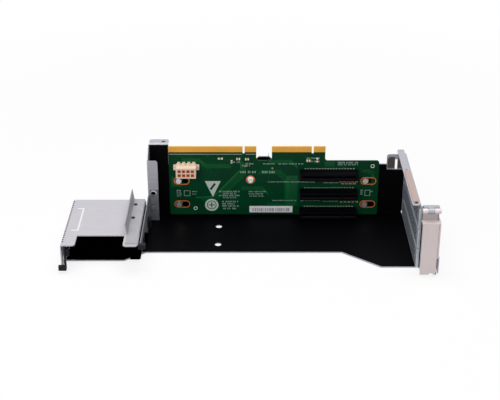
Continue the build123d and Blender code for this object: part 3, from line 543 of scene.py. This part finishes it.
def plainTriangle():
    # the foot of a block is drawn down to a point, and a bar is cut out
    x, top, low = marks["triangleX"], marks["triangleTop"], marks["triangleLow"]
    half, middle = marks["triangleWidth"] / 2, (top + low) / 2
    plate = addBlock("triangle", (x - half, -marks["thickness"], middle), (x + half, 0, top))
    pickVertices(plate, lambda place: place.z < middle + near)
    bpy.ops.transform.resize(value=(marks["tip"], 1, 1), center_override=onBoard(x, 0, middle))
    bpy.ops.transform.translate(value=(0, 0, (low - middle) * mm))
    objectMode()
    bar = addBlock("bar", (x - marks["barHalf"], -past, middle + marks["barLow"]),
                   (x + marks["barHalf"], past, middle + marks["barTop"]), turn=math.radians(marks["barTurn"]))
    return cutOut(plate, bar)


def plainDisc():
    # a disc with a ring and a cross cut out
    x, z, radius = marks["discX"], marks["discZ"], marks["discRadius"]
    inside, outside = (radius * share for share in marks["ring"])
    disc = addDisc("disc", x, z, radius, -marks["thickness"], 0, marks["discSides"])
    outer = addDisc("outer", x, z, outside, -past, past, marks["ringSides"])
    inner = addDisc("inner", x, z, inside, -2 * past, 2 * past, marks["ringSides"])
    disc = cutOut(disc, cutOut(outer, inner))
    reach, half = marks["cross"]
    for wide, high in ((reach, half), (half, reach)):
        disc = cutOut(disc, addBlock("cross", (x - wide, -past, z - high), (x + wide, past, z + high)))
    return disc


def makeMarks():
    finishPiece(joinAll("boardMarks", [plainTriangle(), plainDisc()]), markInk)


makeSilkText()
makeSilkOutlines()
makeMarks()
print("board print done")


# Copper under the mask: bundles of bent conductors, wide enough to show, and a broad supply run

conductors = {
    "width": 0.3, "thickness": 0.015, "pitch": 0.75, "bevel": 0.005,
    # points of the first conductor, how many lie side by side, and to which side
    "bundles": [
        ([(30.5, 17.0), (43.0, 19.0), (70.0, 46.0), (70.0, 58.0)], 6, (1, -1)),
        ([(96.0, 66.0), (96.0, 58.5), (118.0, 58.5), (124.0, 52.5)], 5, (0, -1)),
        ([(12.0, 66.0), (12.0, 60.0), (30.0, 60.0), (36.0, 54.0), (60.0, 54.0)], 6, (0, -1)),
        ([(86.0, 44.0), (104.0, 44.0), (112.0, 36.0), (112.0, 12.0)], 6, (1, 1)),
        ([(186.0, 46.0), (193.0, 46.0), (196.0, 43.0), (196.0, 30.0)], 4, (1, 1)),
        ([(70.0, 30.0), (90.0, 30.0), (96.0, 24.0), (96.0, 12.0), (122.0, 12.0)], 5, (0, -1)),
    ],
    # the supply run
    "supply": [(69.5, 56.0), (69.5, 48.5), (43.0, 19.6), (26.0, 18.3)],
    "supplyWidth": 1.5, "supplyThickness": 0.02,
}


def conductor(points, width, depth):
    # a block along each stretch, half a width longer at both ends, so that the bends close
    parts = []
    half = width / 2
    for (x0, z0), (x1, z1) in zip(points, points[1:]):
        length = math.hypot(x1 - x0, z1 - z0) / 2 + half
        middleX, middleZ = (x0 + x1) / 2, (z0 + z1) / 2
        parts.append(addBlock("run", (middleX - length, -depth, middleZ - half),
                              (middleX + length, 0, middleZ + half), turn=-math.atan2(z1 - z0, x1 - x0)))
    run = joinAll("line", parts)
    bevelAll(run, conductors["bevel"], 1)
    return run


def makeConductors():
    step = conductors["pitch"]
    runs = []
    for points, count, side in conductors["bundles"]:
        line = conductor(points, conductors["width"], conductors["thickness"])
        runs.append(repeat(line, count, (side[0] * step, 0, side[1] * step)))
    runs.append(conductor(conductors["supply"], conductors["supplyWidth"], conductors["supplyThickness"]))
    finishPiece(joinAll("maskedConductors", runs), traceMask)


planes = {
    "thickness": 0.01, "bevel": 0.004,
    # left, low, right, high
    "areas": [(113.5, 10.0, 124.5, 42.0), (2.0, 30.0, 12.0, 41.0), (150.0, 51.5, 160.0, 57.0)],
}


def makeCopperAreas():
    areas = [bevelledBlock("area", (left, -planes["thickness"], low), (right, 0, high), planes["bevel"])
             for left, low, right, high in planes["areas"]]
    finishPiece(joinAll("maskedCopperAreas", areas), planeMask)


vias = {
    "radius": 0.36, "height": 0.03, "sides": 8, "count": 120, "seed": 4, "clear": 1.0,
    # the dished middle: rim as a share of the radius, depth as a share of the height
    "rim": 0.45, "dish": 0.8,
    # free parts of the board: left, low, right, high
    "areas": [(30, 38, 66, 60), (84, 12, 122, 52), (4, 58, 120, 63), (184, 30, 200, 50), (140, 52, 160, 57)],
}


def viaSpots():
    # seeded places that keep clear of each other
    picker = random.Random(vias["seed"])
    spots = []
    while len(spots) < vias["count"]:
        left, low, right, high = picker.choice(vias["areas"])
        spot = (picker.uniform(left, right), picker.uniform(low, high))
        if all(math.hypot(spot[0] - x, spot[1] - z) > vias["clear"] for x, z in spots):
            spots.append(spot)
    return spots


def makeVias():
    spots = viaSpots()
    x, z = spots[0]
    via = addDisc("boardVias", x, z, vias["radius"], -vias["height"], 0, vias["sides"])
    pickFaces(via, looksForward)
    bpy.ops.mesh.inset(thickness=vias["radius"] * vias["rim"] * mm)
    bpy.ops.transform.translate(value=(0, vias["height"] * vias["dish"] * mm, 0))
    objectMode()
    moves = [(otherX - x, 0, otherZ - z) for otherX, otherZ in spots[1:]]
    finishPiece(copyTo(via, moves), traceMask)


makeConductors()
makeCopperAreas()
makeVias()
print("conductors done")


# Card edges: the fingers reach the board's top edge, and the back carries the same row

edges = {
    # left and right end of each stretch of fingers
    "spans": [(0.0, 71.2), (73.1, 84.3), (99.3, 137.5), (139.4, 150.6)],
    "pitch": 1.0, "width": 0.7, "foil": 0.05, "taper": 0.03, "back": 1.6,
    # foot of the fingers on the back, top of the CAD's fingers, top of the board
    "low": 67.0, "joint": 71.15, "top": 72.75,
}


def fingerRow(first, count, outer, inner, low):
    # a finger between two depths, its outer face drawn in at the tip, repeated along the edge
    side = 1 if outer > inner else -1
    middle = (outer + inner) / 2
    finger = addBlock("finger", (first, min(outer, inner), low),
                      (first + edges["width"], max(outer, inner), edges["top"]))
    slideVertices(finger, lambda place: side * (place.y - middle) > 0 and place.z > edges["top"] - near,
                  (0, -side * edges["taper"], 0))
    return repeat(finger, count, (edges["pitch"], 0, 0))


def makeFingers():
    foil, back = edges["foil"], edges["back"]
    tips = []
    backs = []
    for left, right in edges["spans"]:
        count = int((right - left) / edges["pitch"])
        first = (left + right - (count - 1) * edges["pitch"] - edges["width"]) / 2
        tips.append(fingerRow(first, count, -foil, 0, edges["joint"]))
        backs.append(fingerRow(first, count, back + foil, back, edges["low"]))
    finishPiece(joinAll("fingerTips", tips), goldPlate)
    finishPiece(joinAll("backFingers", backs), goldPlate)


makeFingers()


# Keyhole pads, and the rings around the screw and the two plain holes

pads = {
    "foil": 0.05, "length": 15.4, "height": 8.0, "line": 0.95, "sides": 40,
    "places": [(15.7, 11.3), (15.7, 36.3), (196.9, 11.3), (196.9, 36.3)],
    # place, inner and outer radius
    "rounds": [(196.5, 52.2, 1.3, 1.95), (24.9, 6.7, 1.3, 1.95)], "screw": (78.8, 37.7, 3.55, 4.35),
}


def roundRing(x, z, inside, outside):
    ring = addDisc("ring", x, z, outside, -pads["foil"], 0, pads["sides"])
    return cutOut(ring, addDisc("inner", x, z, inside, -past, past, pads["sides"]))


def keyholeRing(x, z):
    length, height, line = pads["length"], pads["height"], pads["line"] * 2
    outer = addStadium("keyholePads", x, z, length, height, -pads["foil"], 0)
    return cutOut(outer, addStadium("inner", x, z, length - line, height - line, -past, past))


def makePads():
    made = [keyholeRing(x, z) for x, z in pads["places"]] + [roundRing(*pads["screw"])]
    finishPiece(joinAll("keyholePads", made), copperPad, replaced=("plated_rings",), smooth=40)
    made = [roundRing(*ring) for ring in pads["rounds"]]
    finishPiece(joinAll("roundRings", made), solderTin, smooth=40)


makePads()


# Power socket: a bronze sleeve in each of its eight cavities, and a tail for each behind the board

socket = {"middle": (16.95, 50.1), "pitch": 4.2, "columns": 4, "rows": 2}
sleeves = {"half": 1.52, "inside": 0.7, "front": -12.6, "back": -4.0, "floor": 0.5}
backTails = {"radius": 1.0, "tip": 0.4, "back": 1.6, "height": 1.1, "sides": 20, "bevel": 0.1}


def firstCavity():
    # middle of the lower left one
    x, z = socket["middle"]
    pitch = socket["pitch"]
    return x - pitch * (socket["columns"] - 1) / 2, z - pitch * (socket["rows"] - 1) / 2


def inEachCavity(item):
    row = repeat(item, socket["columns"], (socket["pitch"], 0, 0))
    return repeat(row, socket["rows"], (0, 0, socket["pitch"]))


def makeSleeves():
    x, z = firstCavity()
    half, front, back = sleeves["half"], sleeves["front"], sleeves["back"]
    sleeve = addBlock("socketSleeves", (x - half, front, z - half), (x + half, back, z + half))
    pickFaces(sleeve, looksForward)
    bpy.ops.mesh.inset(thickness=(half - sleeves["inside"]) * mm)
    depth = (back - front - sleeves["floor"]) * mm
    bpy.ops.mesh.extrude_region_move(TRANSFORM_OT_translate={"value": (0, depth, 0)})
    objectMode()
    finishPiece(inEachCavity(sleeve), bronze)


def makeBackTails():
    x, z = firstCavity()
    back = backTails["back"]
    tail = addDisc("backTails", x, z, backTails["radius"], back, back + backTails["height"],
                   backTails["sides"])
    shrinkFaces(tail, looksBack, backTails["tip"], (x, back, z))
    bevelAll(tail, backTails["bevel"], 2)
    finishPiece(inEachCavity(tail), solderTin, smooth=40)


makeSleeves()


# Card slots: contacts along both sides of each slot and the solder tails above it

contacts = {
    # first contact and number of them, left and right of the key
    "rows": [(129.6, 37), (169.6, 10)], "pitch": 1.0, "width": 0.5,
    # middle of the lowest slot, and the step from slot to slot
    "middle": 4.3, "slotPitch": 20.32, "slots": 3,
    # half the gap's width, thickness of a contact, its ends, and how far its front end spreads
    "half": 0.9, "reach": 0.3, "front": -6.5, "back": -3.0, "spread": 0.2,
}
tails = {"first": 131.7, "count": 18, "pitch": 2.75, "radius": 0.55, "height": 0.7, "place": 8.85,
         "sides": 8, "tip": 0.55}


def upperSlots():
    # moves from the lowest slot to the others
    return [(0, 0, contacts["slotPitch"] * index) for index in range(1, contacts["slots"])]


def contactRow(first, count, side):
    wall = contacts["middle"] + side * contacts["half"]
    tip = wall - side * contacts["reach"]
    spring = addBlock("spring", (first, contacts["front"], min(wall, tip)),
                      (first + contacts["width"], contacts["back"], max(wall, tip)))
    slideVertices(spring, lambda place: place.y < contacts["front"] + near, (0, 0, side * contacts["spread"]))
    return repeat(spring, count, (contacts["pitch"], 0, 0))


def makeContacts():
    sides = [contactRow(first, count, side) for side in (-1, 1) for first, count in contacts["rows"]]
    finishPiece(copyTo(joinAll("slotContacts", sides), upperSlots()), goldPlate)


def makeTails():
    x, z = tails["first"], tails["place"]
    tail = addDisc("solderTails", x, z, tails["radius"], -tails["height"], 0, tails["sides"])
    shrinkFaces(tail, looksForward, tails["tip"], (x, 0, z))
    row = repeat(tail, tails["count"], (tails["pitch"], 0, 0))
    finishPiece(copyTo(row, upperSlots()), solderTin)


makeContacts()
makeTails()


# Small resistors beside the slots: a body between two tinned ends

resistors = {
    # left end, foot and number of each row
    "rows": [(165.4, 35.2, 5), (167.3, 33.0, 4), (168.4, 15.4, 4), (166.6, 13.2, 5)],
    "pitch": 3.8, "length": 1.9, "height": 1.2, "rise": 0.45, "end": 0.35, "over": 0.03, "bevel": 0.05,
}


def makeResistors():
    length, end, rise, over = (resistors[key] for key in ("length", "end", "rise", "over"))
    bodies = []
    ends = []
    for x, z, count in resistors["rows"]:
        top = z + resistors["height"]
        body = bevelledBlock("body", (x + end, -rise, z), (x + length - end, 0, top), resistors["bevel"])
        cap = bevelledBlock("cap", (x, -rise - over, z - over), (x + end, 0, top + over), resistors["bevel"])
        repeat(cap, 2, (length - end, 0, 0))
        bodies.append(repeat(body, count, (resistors["pitch"], 0, 0)))
        ends.append(repeat(cap, count, (resistors["pitch"], 0, 0)))
    finishPiece(joinAll("resistorBodies", bodies), chipBrown)
    finishPiece(joinAll("resistorEnds", ends), solderTin)


makeResistors()


# Tinned ends of the CAD's small parts: a cap over each end of the longer side

chips = {
    # middle, length, height and thickness of each part
    "parts": [(67.0, 60.0, 3.6, 1.8, 1.1), (75.4, 59.8, 3.6, 1.8, 1.1), (60.6, 57.0, 1.6, 3.0, 0.8),
              (134.5, 58.3, 3.6, 1.8, 1.1), (143.0, 59.0, 1.8, 4.4, 1.2), (49.8, 60.3, 4.6, 1.6, 0.8)],
    # share of the length, and how far the cap stands out
    "end": 0.3, "over": 0.04, "bevel": 0.06,
}


def makeChipEnds():
    made = []
    over = chips["over"]
    for x, z, length, height, thickness in chips["parts"]:
        halfX, halfZ = length / 2 + over, height / 2 + over
        end = max(length, height) * chips["end"]
        for side in (-1, 1):
            if length > height:
                spanX, spanZ = sorted((x + side * halfX, x + side * (halfX - end))), (z - halfZ, z + halfZ)
            else:
                spanX, spanZ = (x - halfX, x + halfX), sorted((z + side * halfZ, z + side * (halfZ - end)))
            made.append(bevelledBlock("cap", (spanX[0], -thickness - over, spanZ[0]), (spanX[1], 0, spanZ[1]),
                                      chips["bevel"], 2))
    finishPiece(joinAll("chipEnds", made), solderTin)


makeChipEnds()
makeBackTails()


# Label: plain bars of unequal widths

bars = {
    "left": 80.5, "right": 117.5, "low": 3.2, "high": 6.9, "front": -0.12, "back": -0.1,
    "widths": (0.3, 0.3, 0.6, 0.9), "gaps": (0.35, 0.35, 0.7, 1.0), "bevel": 0.005, "seed": 3,
}


def makeLabelBars():
    picker = random.Random(bars["seed"])
    made = []
    x = bars["left"]
    while x < bars["right"]:
        width = picker.choice(bars["widths"])
        low, high = (x, bars["front"], bars["low"]), (x + width, bars["back"], bars["high"])
        made.append(bevelledBlock("bar", low, high, bars["bevel"]))
        x += width + picker.choice(bars["gaps"])
    finishPiece(joinAll("labelBars", made), labelInk)


makeLabelBars()
print("board parts done")


# Shelf: the plain painted bracket mark, black film as painted shade in the box below and on the guard tab,
# painted shade in its holes and vents, and the channel's collar

shelfMark = {"left": -85.0, "right": -78.5, "front": -79.0, "rear": -34.0, "top": 24.0,
             "line": 1.5, "ink": 0.03}


def makeShelfMark():
    left, right, front, rear = (shelfMark[key] for key in ("left", "right", "front", "rear"))
    top, line = shelfMark["top"], shelfMark["line"]
    plate = addBlock("shelfMark", (left, front, top), (right, rear, top + shelfMark["ink"]))
    inner = addBlock("inner", (left - past, front + line, top - past), (right - line, rear - line, top + past))
    finishPiece(cutOut(plate, inner), shelfInk)


# painted shade: black film strips over the shelf's two feet and on the floor beside the wall, where the box is
# in deep shade
footShadeFilm = {
    # left, right, front, rear, low and high of the strips over the two feet and of the one beside the wall
    "strips": [(-90.2, -81.8, -86.9, -16.8, -1.9, -1.24), (-31.7, -23.2, -86.9, -16.8, -1.9, -1.24),
               (-21.9, -18.9, -72.0, -12.0, -2.3, -2.2)],
    "bevel": 0.02,
}


def makeFootShadeFilm():
    made = [bevelledBlock("strip", (left, front, low), (right, rear, high), footShadeFilm["bevel"])
            for left, right, front, rear, low, high in footShadeFilm["strips"]]
    finishPiece(joinAll("footShadeFilm", made), shadedBoxFilm)


wallShadeFilm = {"low": (-22.0, -88.1, -0.8), "high": (-21.9, -16.2, 22.4), "edge": 1.0, "film": 0.1}


def makeWallShadeFilm():
    # painted shade: black film on the outer face of the shelf's right wall, folded over its front edge, for
    # the shadowed gap between the wall and the divider
    left, front, low = wallShadeFilm["low"]
    right, rear, high = wallShadeFilm["high"]
    film = addBlock("wallShadeFilm", (left - wallShadeFilm["edge"], front, low), (right, front + wallShadeFilm["film"], high))
    face = addBlock("face", (left, front, low), (right, rear, high))
    finishPiece(weld(film, face), shadedBoxFilm)


tabShadePatches = {
    # left and right of the tab's slot
    "spans": [(212.0, 218.9), (221.9, 226.6)],
    "front": 9.22, "back": 9.3, "low": 45.9, "high": 57.6, "corner": 1.5, "cornerTurn": -45,
}


def makeTabShadePatches():
    # painted shade: brown patches on the guard tab behind the column, inset from its edges so that its rim
    # stays light, each piece with its upper left corner cut off
    front, back, high, corner = (tabShadePatches[key] for key in ("front", "back", "high", "corner"))
    made = []
    for left, right in tabShadePatches["spans"]:
        patch = addBlock("patch", (left, front, tabShadePatches["low"]), (right, back, high))
        cutter = addBlock("corner", (left - past, front - past, high - corner),
                          (left + corner / 2, back + past, high + past),
                          turn=math.radians(tabShadePatches["cornerTurn"]))
        made.append(cutOut(patch, cutter))
    finishPiece(joinAll("tabShadePatches", made), tabShadeBrown)


holeShadeDiscs = {"places": [(-30.6, -28.0), (-30.5, -55.4)], "foot": 25.0, "radius": 1.8, "height": 0.25}


def makeHoleShadeDiscs():
    # painted shade: dark discs over the two holes in the guide angle, for the shade in and around the holes
    (x, y), others = holeShadeDiscs["places"][0], holeShadeDiscs["places"][1:]
    head = addUpright("guideHoleShade", x, y, holeShadeDiscs["foot"], holeShadeDiscs["foot"] + holeShadeDiscs["height"], holeShadeDiscs["radius"])
    bevelAll(head, holeShadeDiscs["height"] / 2)
    moves = [(otherX - x, otherY - y, 0) for otherX, otherY in others]
    finishPiece(copyTo(head, moves), darkPlastic, smooth=40)


foldVentShade = {"left": -90.9, "right": -89.6, "front": -101.0, "length": 1.7, "pitch": 4.0, "count": 21,
             "foot": 24.0, "height": 0.02}


def makeFoldVentShade():
    # painted shade: black patches where the vents run over the shelf's left fold, for the shade in their
    # openings
    front, foot, height = (foldVentShade[key] for key in ("front", "foot", "height"))
    vent = bevelledBlock("foldVentShade", (foldVentShade["left"], front, foot),
                         (foldVentShade["right"], front + foldVentShade["length"], foot + height), height / 3)
    finishPiece(repeat(vent, foldVentShade["count"], (0, foldVentShade["pitch"], 0)), blackFilm)


holeShadePads = {
    # middle, foot and radius of the pads in the column's head and beside the gasket
    "places": [(-5.3, 12.7, 71.45, 2.7), (225.6, -97.7, 62.0, 1.3)], "height": 0.05,
}


def makeHoleShadePads():
    # painted shade: a black disc behind each hole, for the shade seen through it
    made = []
    for x, y, low, radius in holeShadePads["places"]:
        pad = addUpright("holeShadePads", x, y, low, low + holeShadePads["height"], radius)
        bevelAll(pad, holeShadePads["height"] / 3, 1)
        made.append(pad)
    finishPiece(joinAll("holeShadePads", made), blackFilm)


collar = {"x": -15.2, "z": 27.0, "inside": 2.35, "outside": 3.2, "front": -9.1, "back": -8.7, "sides": 48}


def makeCollar():
    # pressed rim of the hole in the channel
    x, z, front, back, sides = (collar[key] for key in ("x", "z", "front", "back", "sides"))
    rim = addDisc("channelCollar", x, z, collar["outside"], front, back, sides)
    bevelAll(rim, (back - front) / 3)
    rim = cutOut(rim, addDisc("inner", x, z, collar["inside"], front - past, back + past, sides))
    finishPiece(rim, brightMetal, smooth=40)


makeShelfMark()
makeFootShadeFilm()
makeWallShadeFilm()
makeTabShadePatches()
makeHoleShadeDiscs()
makeFoldVentShade()
makeHoleShadePads()
makeCollar()
print("shelf done")


# Blank brackets: drawn out from one corner block, then finely perforated

covers = {
    "nodes": ["slot_cover_1", "slot_cover_2", "slot_cover_3"], "sheet": 0.8, "bevel": 0.15,
    # where the strip narrows, over what length, and to what width
    "shoulder": -2.5, "slope": 2.0, "tailWidth": 10.2, "notchX": 7.1, "notchRadius": 2.2,
    # the hexagonal vents and the length of their cutters
    "holeRadius": 1.7, "pitch": 4.15, "holesFront": -92.0, "columns": 21, "cutter": 4.0,
}


def coverHoles(left, middle):
    # four staggered rows of hexagonal cutters
    pitch = covers["pitch"]
    rise = pitch * math.sqrt(3) / 2
    first = (left, covers["holesFront"], middle - rise * 1.5)
    hole = addRound("holes", first, covers["holeRadius"], covers["cutter"], 6, (0, quarter, 0))
    row = repeat(hole, covers["columns"], (0, pitch, 0))
    between = copyOf(row, "between", (0, pitch / 2, rise))
    return repeat(joinAll("holes", [row, between]), 2, (0, 0, rise * 2))


def paintHoleShade(item):
    # painted shade on the walls of the punched holes: level with the sheet and away from its outline
    item.data.materials.append(holeShadeEdge)
    low, high = (toBoard(Vector(corner)) for corner in (item.bound_box[0], item.bound_box[6]))
    edge = covers["sheet"] * 1.5
    for face in item.data.polygons:
        place = toBoard(face.center)
        inside = low.z + edge < place.z < high.z - edge and low.y + edge < place.y < covers["shoulder"] - edge
        if inside and place.x < low.x + covers["sheet"] and abs(face.normal.x) < 1 - facing:
            face.material_index = 1


def plainCover(low, high):
    # the corner block is drawn out into the foot and the strip, which narrows to its tail
    sheet, shoulder, slope = covers["sheet"], covers["shoulder"], covers["slope"]
    narrower = (covers["tailWidth"] / (high.z - low.z), (low.z + high.z) / 2)
    cover = addBlock("slotCover1", low, (low.x + sheet, low.y + sheet, high.z))
    extrudeFaces(cover, lambda place, normal: normal.x > facing, (high.x - low.x - sheet, 0, 0))
    extrudeFaces(cover, lambda place, normal: looksBack(place, normal) and place.x < low.x + sheet,
                 (0, shoulder - low.y - sheet, 0))
    extrudeFaces(cover, lambda place, normal: looksBack(place, normal) and place.y > shoulder - near,
                 (0, slope, 0), narrower)
    extrudeFaces(cover, lambda place, normal: looksBack(place, normal) and place.y > shoulder + near,
                 (0, high.y - shoulder - slope, 0))
    bevelAll(cover, covers["bevel"])
    return cover


def makeCovers():
    low, high = (toBoard(corner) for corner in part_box(covers["nodes"][0]))
    notch = addDisc("notch", low.x + covers["notchX"], high.z, covers["notchRadius"],
                    low.y - past, low.y + 2 * past)
    cover = cutOut(cutOut(plainCover(low, high), notch), coverHoles(low.x, (low.z + high.z) / 2))
    moves = [toBoard(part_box(node)[0]) - low for node in covers["nodes"][1:]]
    others = [applyPlace(copyOf(cover, "slotCover%d" % number, move)) for number, move in enumerate(moves, 2)]
    for item, node in zip([cover] + others, covers["nodes"]):
        finishPiece(item, coverSheet, replaced=(node,), smooth=30)
        paintHoleShade(item)


makeCovers()
print("covers done")


# Latch door: folded panel, set back strip, ledge, two flanges and two open rolls around the pin

latch = {
    "left": 230.0, "right": 246.0, "front": -116.0, "low": -1.0, "top": 50.5, "sheet": 1.0, "bevel": 0.3,
    # the strip set back beside the panel, and the groove between the two with its skin
    "step": 1.8, "stepDepth": 0.8, "groove": 0.5, "grooveSkin": 0.1,
    # both flanges, and how far the ledge stands out to the left
    "flangeLow": 15.0, "flangeBack": -104.0, "leftBack": -112.0, "leftLow": 3.0, "overhang": 0.5,
    # the plate behind the rolls, and the arms from it that end inside the rolls' walls
    "upperRight": 243.4, "upperTop": 57.0, "plateFront": -109.8,
    "arms": [(230.6, 234.6), (240.4, 243.4)], "armInset": 0.2,
    # notch in the foot: left, right, depth
    "notch": (238.2, 241.8, 1.4),
    "pinY": -109.4, "pinZ": 59.65, "rolls": [(229.8, 234.6), (240.4, 246.0)],
    "rollInside": 1.35, "rollOutside": 2.35, "seam": 0.5,
}


def openRoll(left, right):
    # a tube with a seam along its rear foot
    y, z, sheet = latch["pinY"], latch["pinZ"], latch["sheet"]
    outside = latch["rollOutside"]
    roll = addRod("roll", y, z, outside, left, right)
    bevelAll(roll, latch["bevel"] / 2)
    roll = cutOut(roll, addRod("inner", y, z, latch["rollInside"], left - past, right + past))
    seam = addBlock("seam", (left - past, y + sheet / 2, z - outside - past),
                    (right + past, y + sheet / 2 + latch["seam"], z - sheet))
    return cutOut(roll, seam)


def foldedDoor():
    # the panel with its folds welded on, then the notch and the groove
    left, right, sheet, front = latch["left"], latch["right"], latch["sheet"], latch["front"]
    top, plate, low = latch["top"], latch["plateFront"], latch["low"]
    stepX, stepY = right - latch["step"], front + latch["stepDepth"]
    armTop = latch["pinZ"] - latch["rollInside"] - latch["armInset"]
    door = addBlock("latchDoor", (left, front, low), (stepX, front + sheet, top))
    folds = [
        ((stepX - sheet, stepY, latch["flangeLow"]), (right, stepY + sheet, top)),
        ((left - latch["overhang"], front, top - sheet), (right, plate + sheet, top)),
        ((left, plate, top - sheet), (latch["upperRight"], plate + sheet, latch["upperTop"])),
        ((right - sheet, stepY, latch["flangeLow"]), (right, latch["flangeBack"], top)),
        ((left, front, latch["leftLow"]), (left + sheet, latch["leftBack"], top)),
    ]
    folds += [((start, plate, top - sheet), (end, plate + sheet, armTop)) for start, end in latch["arms"]]
    for foldLow, foldHigh in folds:
        weld(door, addBlock("fold", foldLow, foldHigh))
    notchLeft, notchRight, depth = latch["notch"]
    cutOut(door, addBlock("notch", (notchLeft, front - past, low - past),
                          (notchRight, front + sheet + past, low + depth)))
    cutOut(door, addBlock("groove", (stepX, stepY - past, latch["flangeLow"] - past),
                          (stepX + latch["groove"], stepY + sheet - latch["grooveSkin"], top - sheet)))
    bevelAll(door, latch["bevel"], 3)
    return door


def makeLatchDoor():
    door = joinAll("latchDoor", [foldedDoor()] + [openRoll(*span) for span in latch["rolls"]])
    finishPiece(door, latchSheet, body="latch", replaced=("latch_door",), smooth=30)


makeLatchDoor()


# Painted shade: a black strip along the ears of the brackets, beside the closed door, for the dark gap between
# the ears and the door

cheek = {"low": (230.5, -103.6, -0.6), "high": (232.0, -102.85, 57.6), "bevel": 0.3}


def makeCheekShadeStrip():
    strip = bevelledBlock("cheekShadeStrip", cheek["low"], cheek["high"], cheek["bevel"], 3)
    finishPiece(strip, blackFilm, smooth=40)


makeCheekShadeStrip()
print("latch done")


# Camera: found from the photograph's straight edges, in mm from the board's corner

cameraPlace = {"x": 78.3, "y": -1008.2, "z": 521.2, "tilt": 63.37, "lens": 83.0, "clip": (0.05, 20)}


def makeCamera():
    data = bpy.data.cameras.new("camera")
    data.lens = cameraPlace["lens"]
    data.clip_start, data.clip_end = cameraPlace["clip"]
    camera = bpy.data.objects.new("camera", data)
    camera.location = onBoard(cameraPlace["x"], cameraPlace["y"], cameraPlace["z"])
    camera.rotation_euler = (math.radians(cameraPlace["tilt"]), 0, 0)
    bpy.context.scene.collection.objects.link(camera)
    bpy.context.scene.camera = camera


# Stage: white floor in a white room, in metres

studio = {
    "world": 0.3, "floor": "#ffffff", "floorSize": 14, "floorRoughness": 0.9,
    # distances from the middle between which the lit floor turns into the plain white background
    "litRadius": 0.3, "whiteRadius": 0.75,
    # share of plain white under the part, which keeps its shadow faint
    "lift": 0.8,
    # name, place, aim, size and watts of each lamp
    "lamps": [("overhead", (0, 0.1, 1.5), (0, 0, 0), (1.6, 1.0), 15),
              ("front", (-0.5, -1.6, 0.9), (0, 0, 0.03), (1.2, 0.8), 12)],
}


def whiteWhereSeen(tree, strength):
    # 1 for what the camera, a mirror or a clear body sees, and the strength for the light itself
    path = addNode(tree, "ShaderNodeLightPath")
    seen = path.outputs["Is Camera Ray"]
    for ray in ("Is Glossy Ray", "Is Transmission Ray"):
        either = addNode(tree, "ShaderNodeMath", {"operation": "MAXIMUM"}, {0: seen, 1: path.outputs[ray]})
        seen = either.outputs[0]
    level = addNode(tree, "ShaderNodeMapRange", links={"Value": seen}, To_Min=strength, To_Max=1.0)
    return level.outputs["Result"]


def makeWorld():
    world = bpy.data.worlds.new("world")
    world.use_nodes = True
    tree = world.node_tree
    background = tree.nodes["Background"]
    background.inputs["Color"].default_value = (1, 1, 1, 1)
    tree.links.new(whiteWhereSeen(tree, studio["world"]), background.inputs["Strength"])
    bpy.context.scene.world = world


def makeFloor():
    # lit paper that keeps the shadow near the part and turns into the background further out
    deselectAll()
    bpy.ops.mesh.primitive_plane_add(size=studio["floorSize"], location=(0, 0, 0))
    floor = nameIt("floor")
    material = newMaterial("paperFloor", studio["floor"], studio["floorRoughness"], 0.0, 0.0)
    tree = material.node_tree
    place = addNode(tree, "ShaderNodeTexCoord")
    distance = addNode(tree, "ShaderNodeVectorMath", {"operation": "LENGTH"}, {0: place.outputs["Object"]})
    far = addNode(tree, "ShaderNodeMapRange", links={"Value": distance.outputs["Value"]},
                  From_Min=studio["litRadius"], From_Max=studio["whiteRadius"], To_Min=studio["lift"])
    glow = addNode(tree, "ShaderNodeEmission", links={"Strength": whiteWhereSeen(tree, studio["world"])})
    lit = tree.nodes["Principled BSDF"]
    mix = addNode(tree, "ShaderNodeMixShader", links={0: far.outputs["Result"], 1: lit.outputs[0],
                                                      2: glow.outputs[0]})
    tree.links.new(mix.outputs[0], tree.nodes["Material Output"].inputs["Surface"])
    floor.data.materials.append(material)


def addLamp(name, place, aim, size, power):
    data = bpy.data.lights.new(name, "AREA")
    data.shape = "RECTANGLE"
    data.size, data.size_y = size
    data.energy = power
    lamp = bpy.data.objects.new(name, data)
    lamp.location = place
    lamp.rotation_euler = (Vector(aim) - Vector(place)).to_track_quat("-Z", "Y").to_euler()
    bpy.context.scene.collection.objects.link(lamp)


makeCamera()
makeWorld()
makeFloor()
for lampValues in studio["lamps"]:
    addLamp(*lampValues)
bpy.context.scene.view_settings.view_transform = "Standard"
print("stage done")
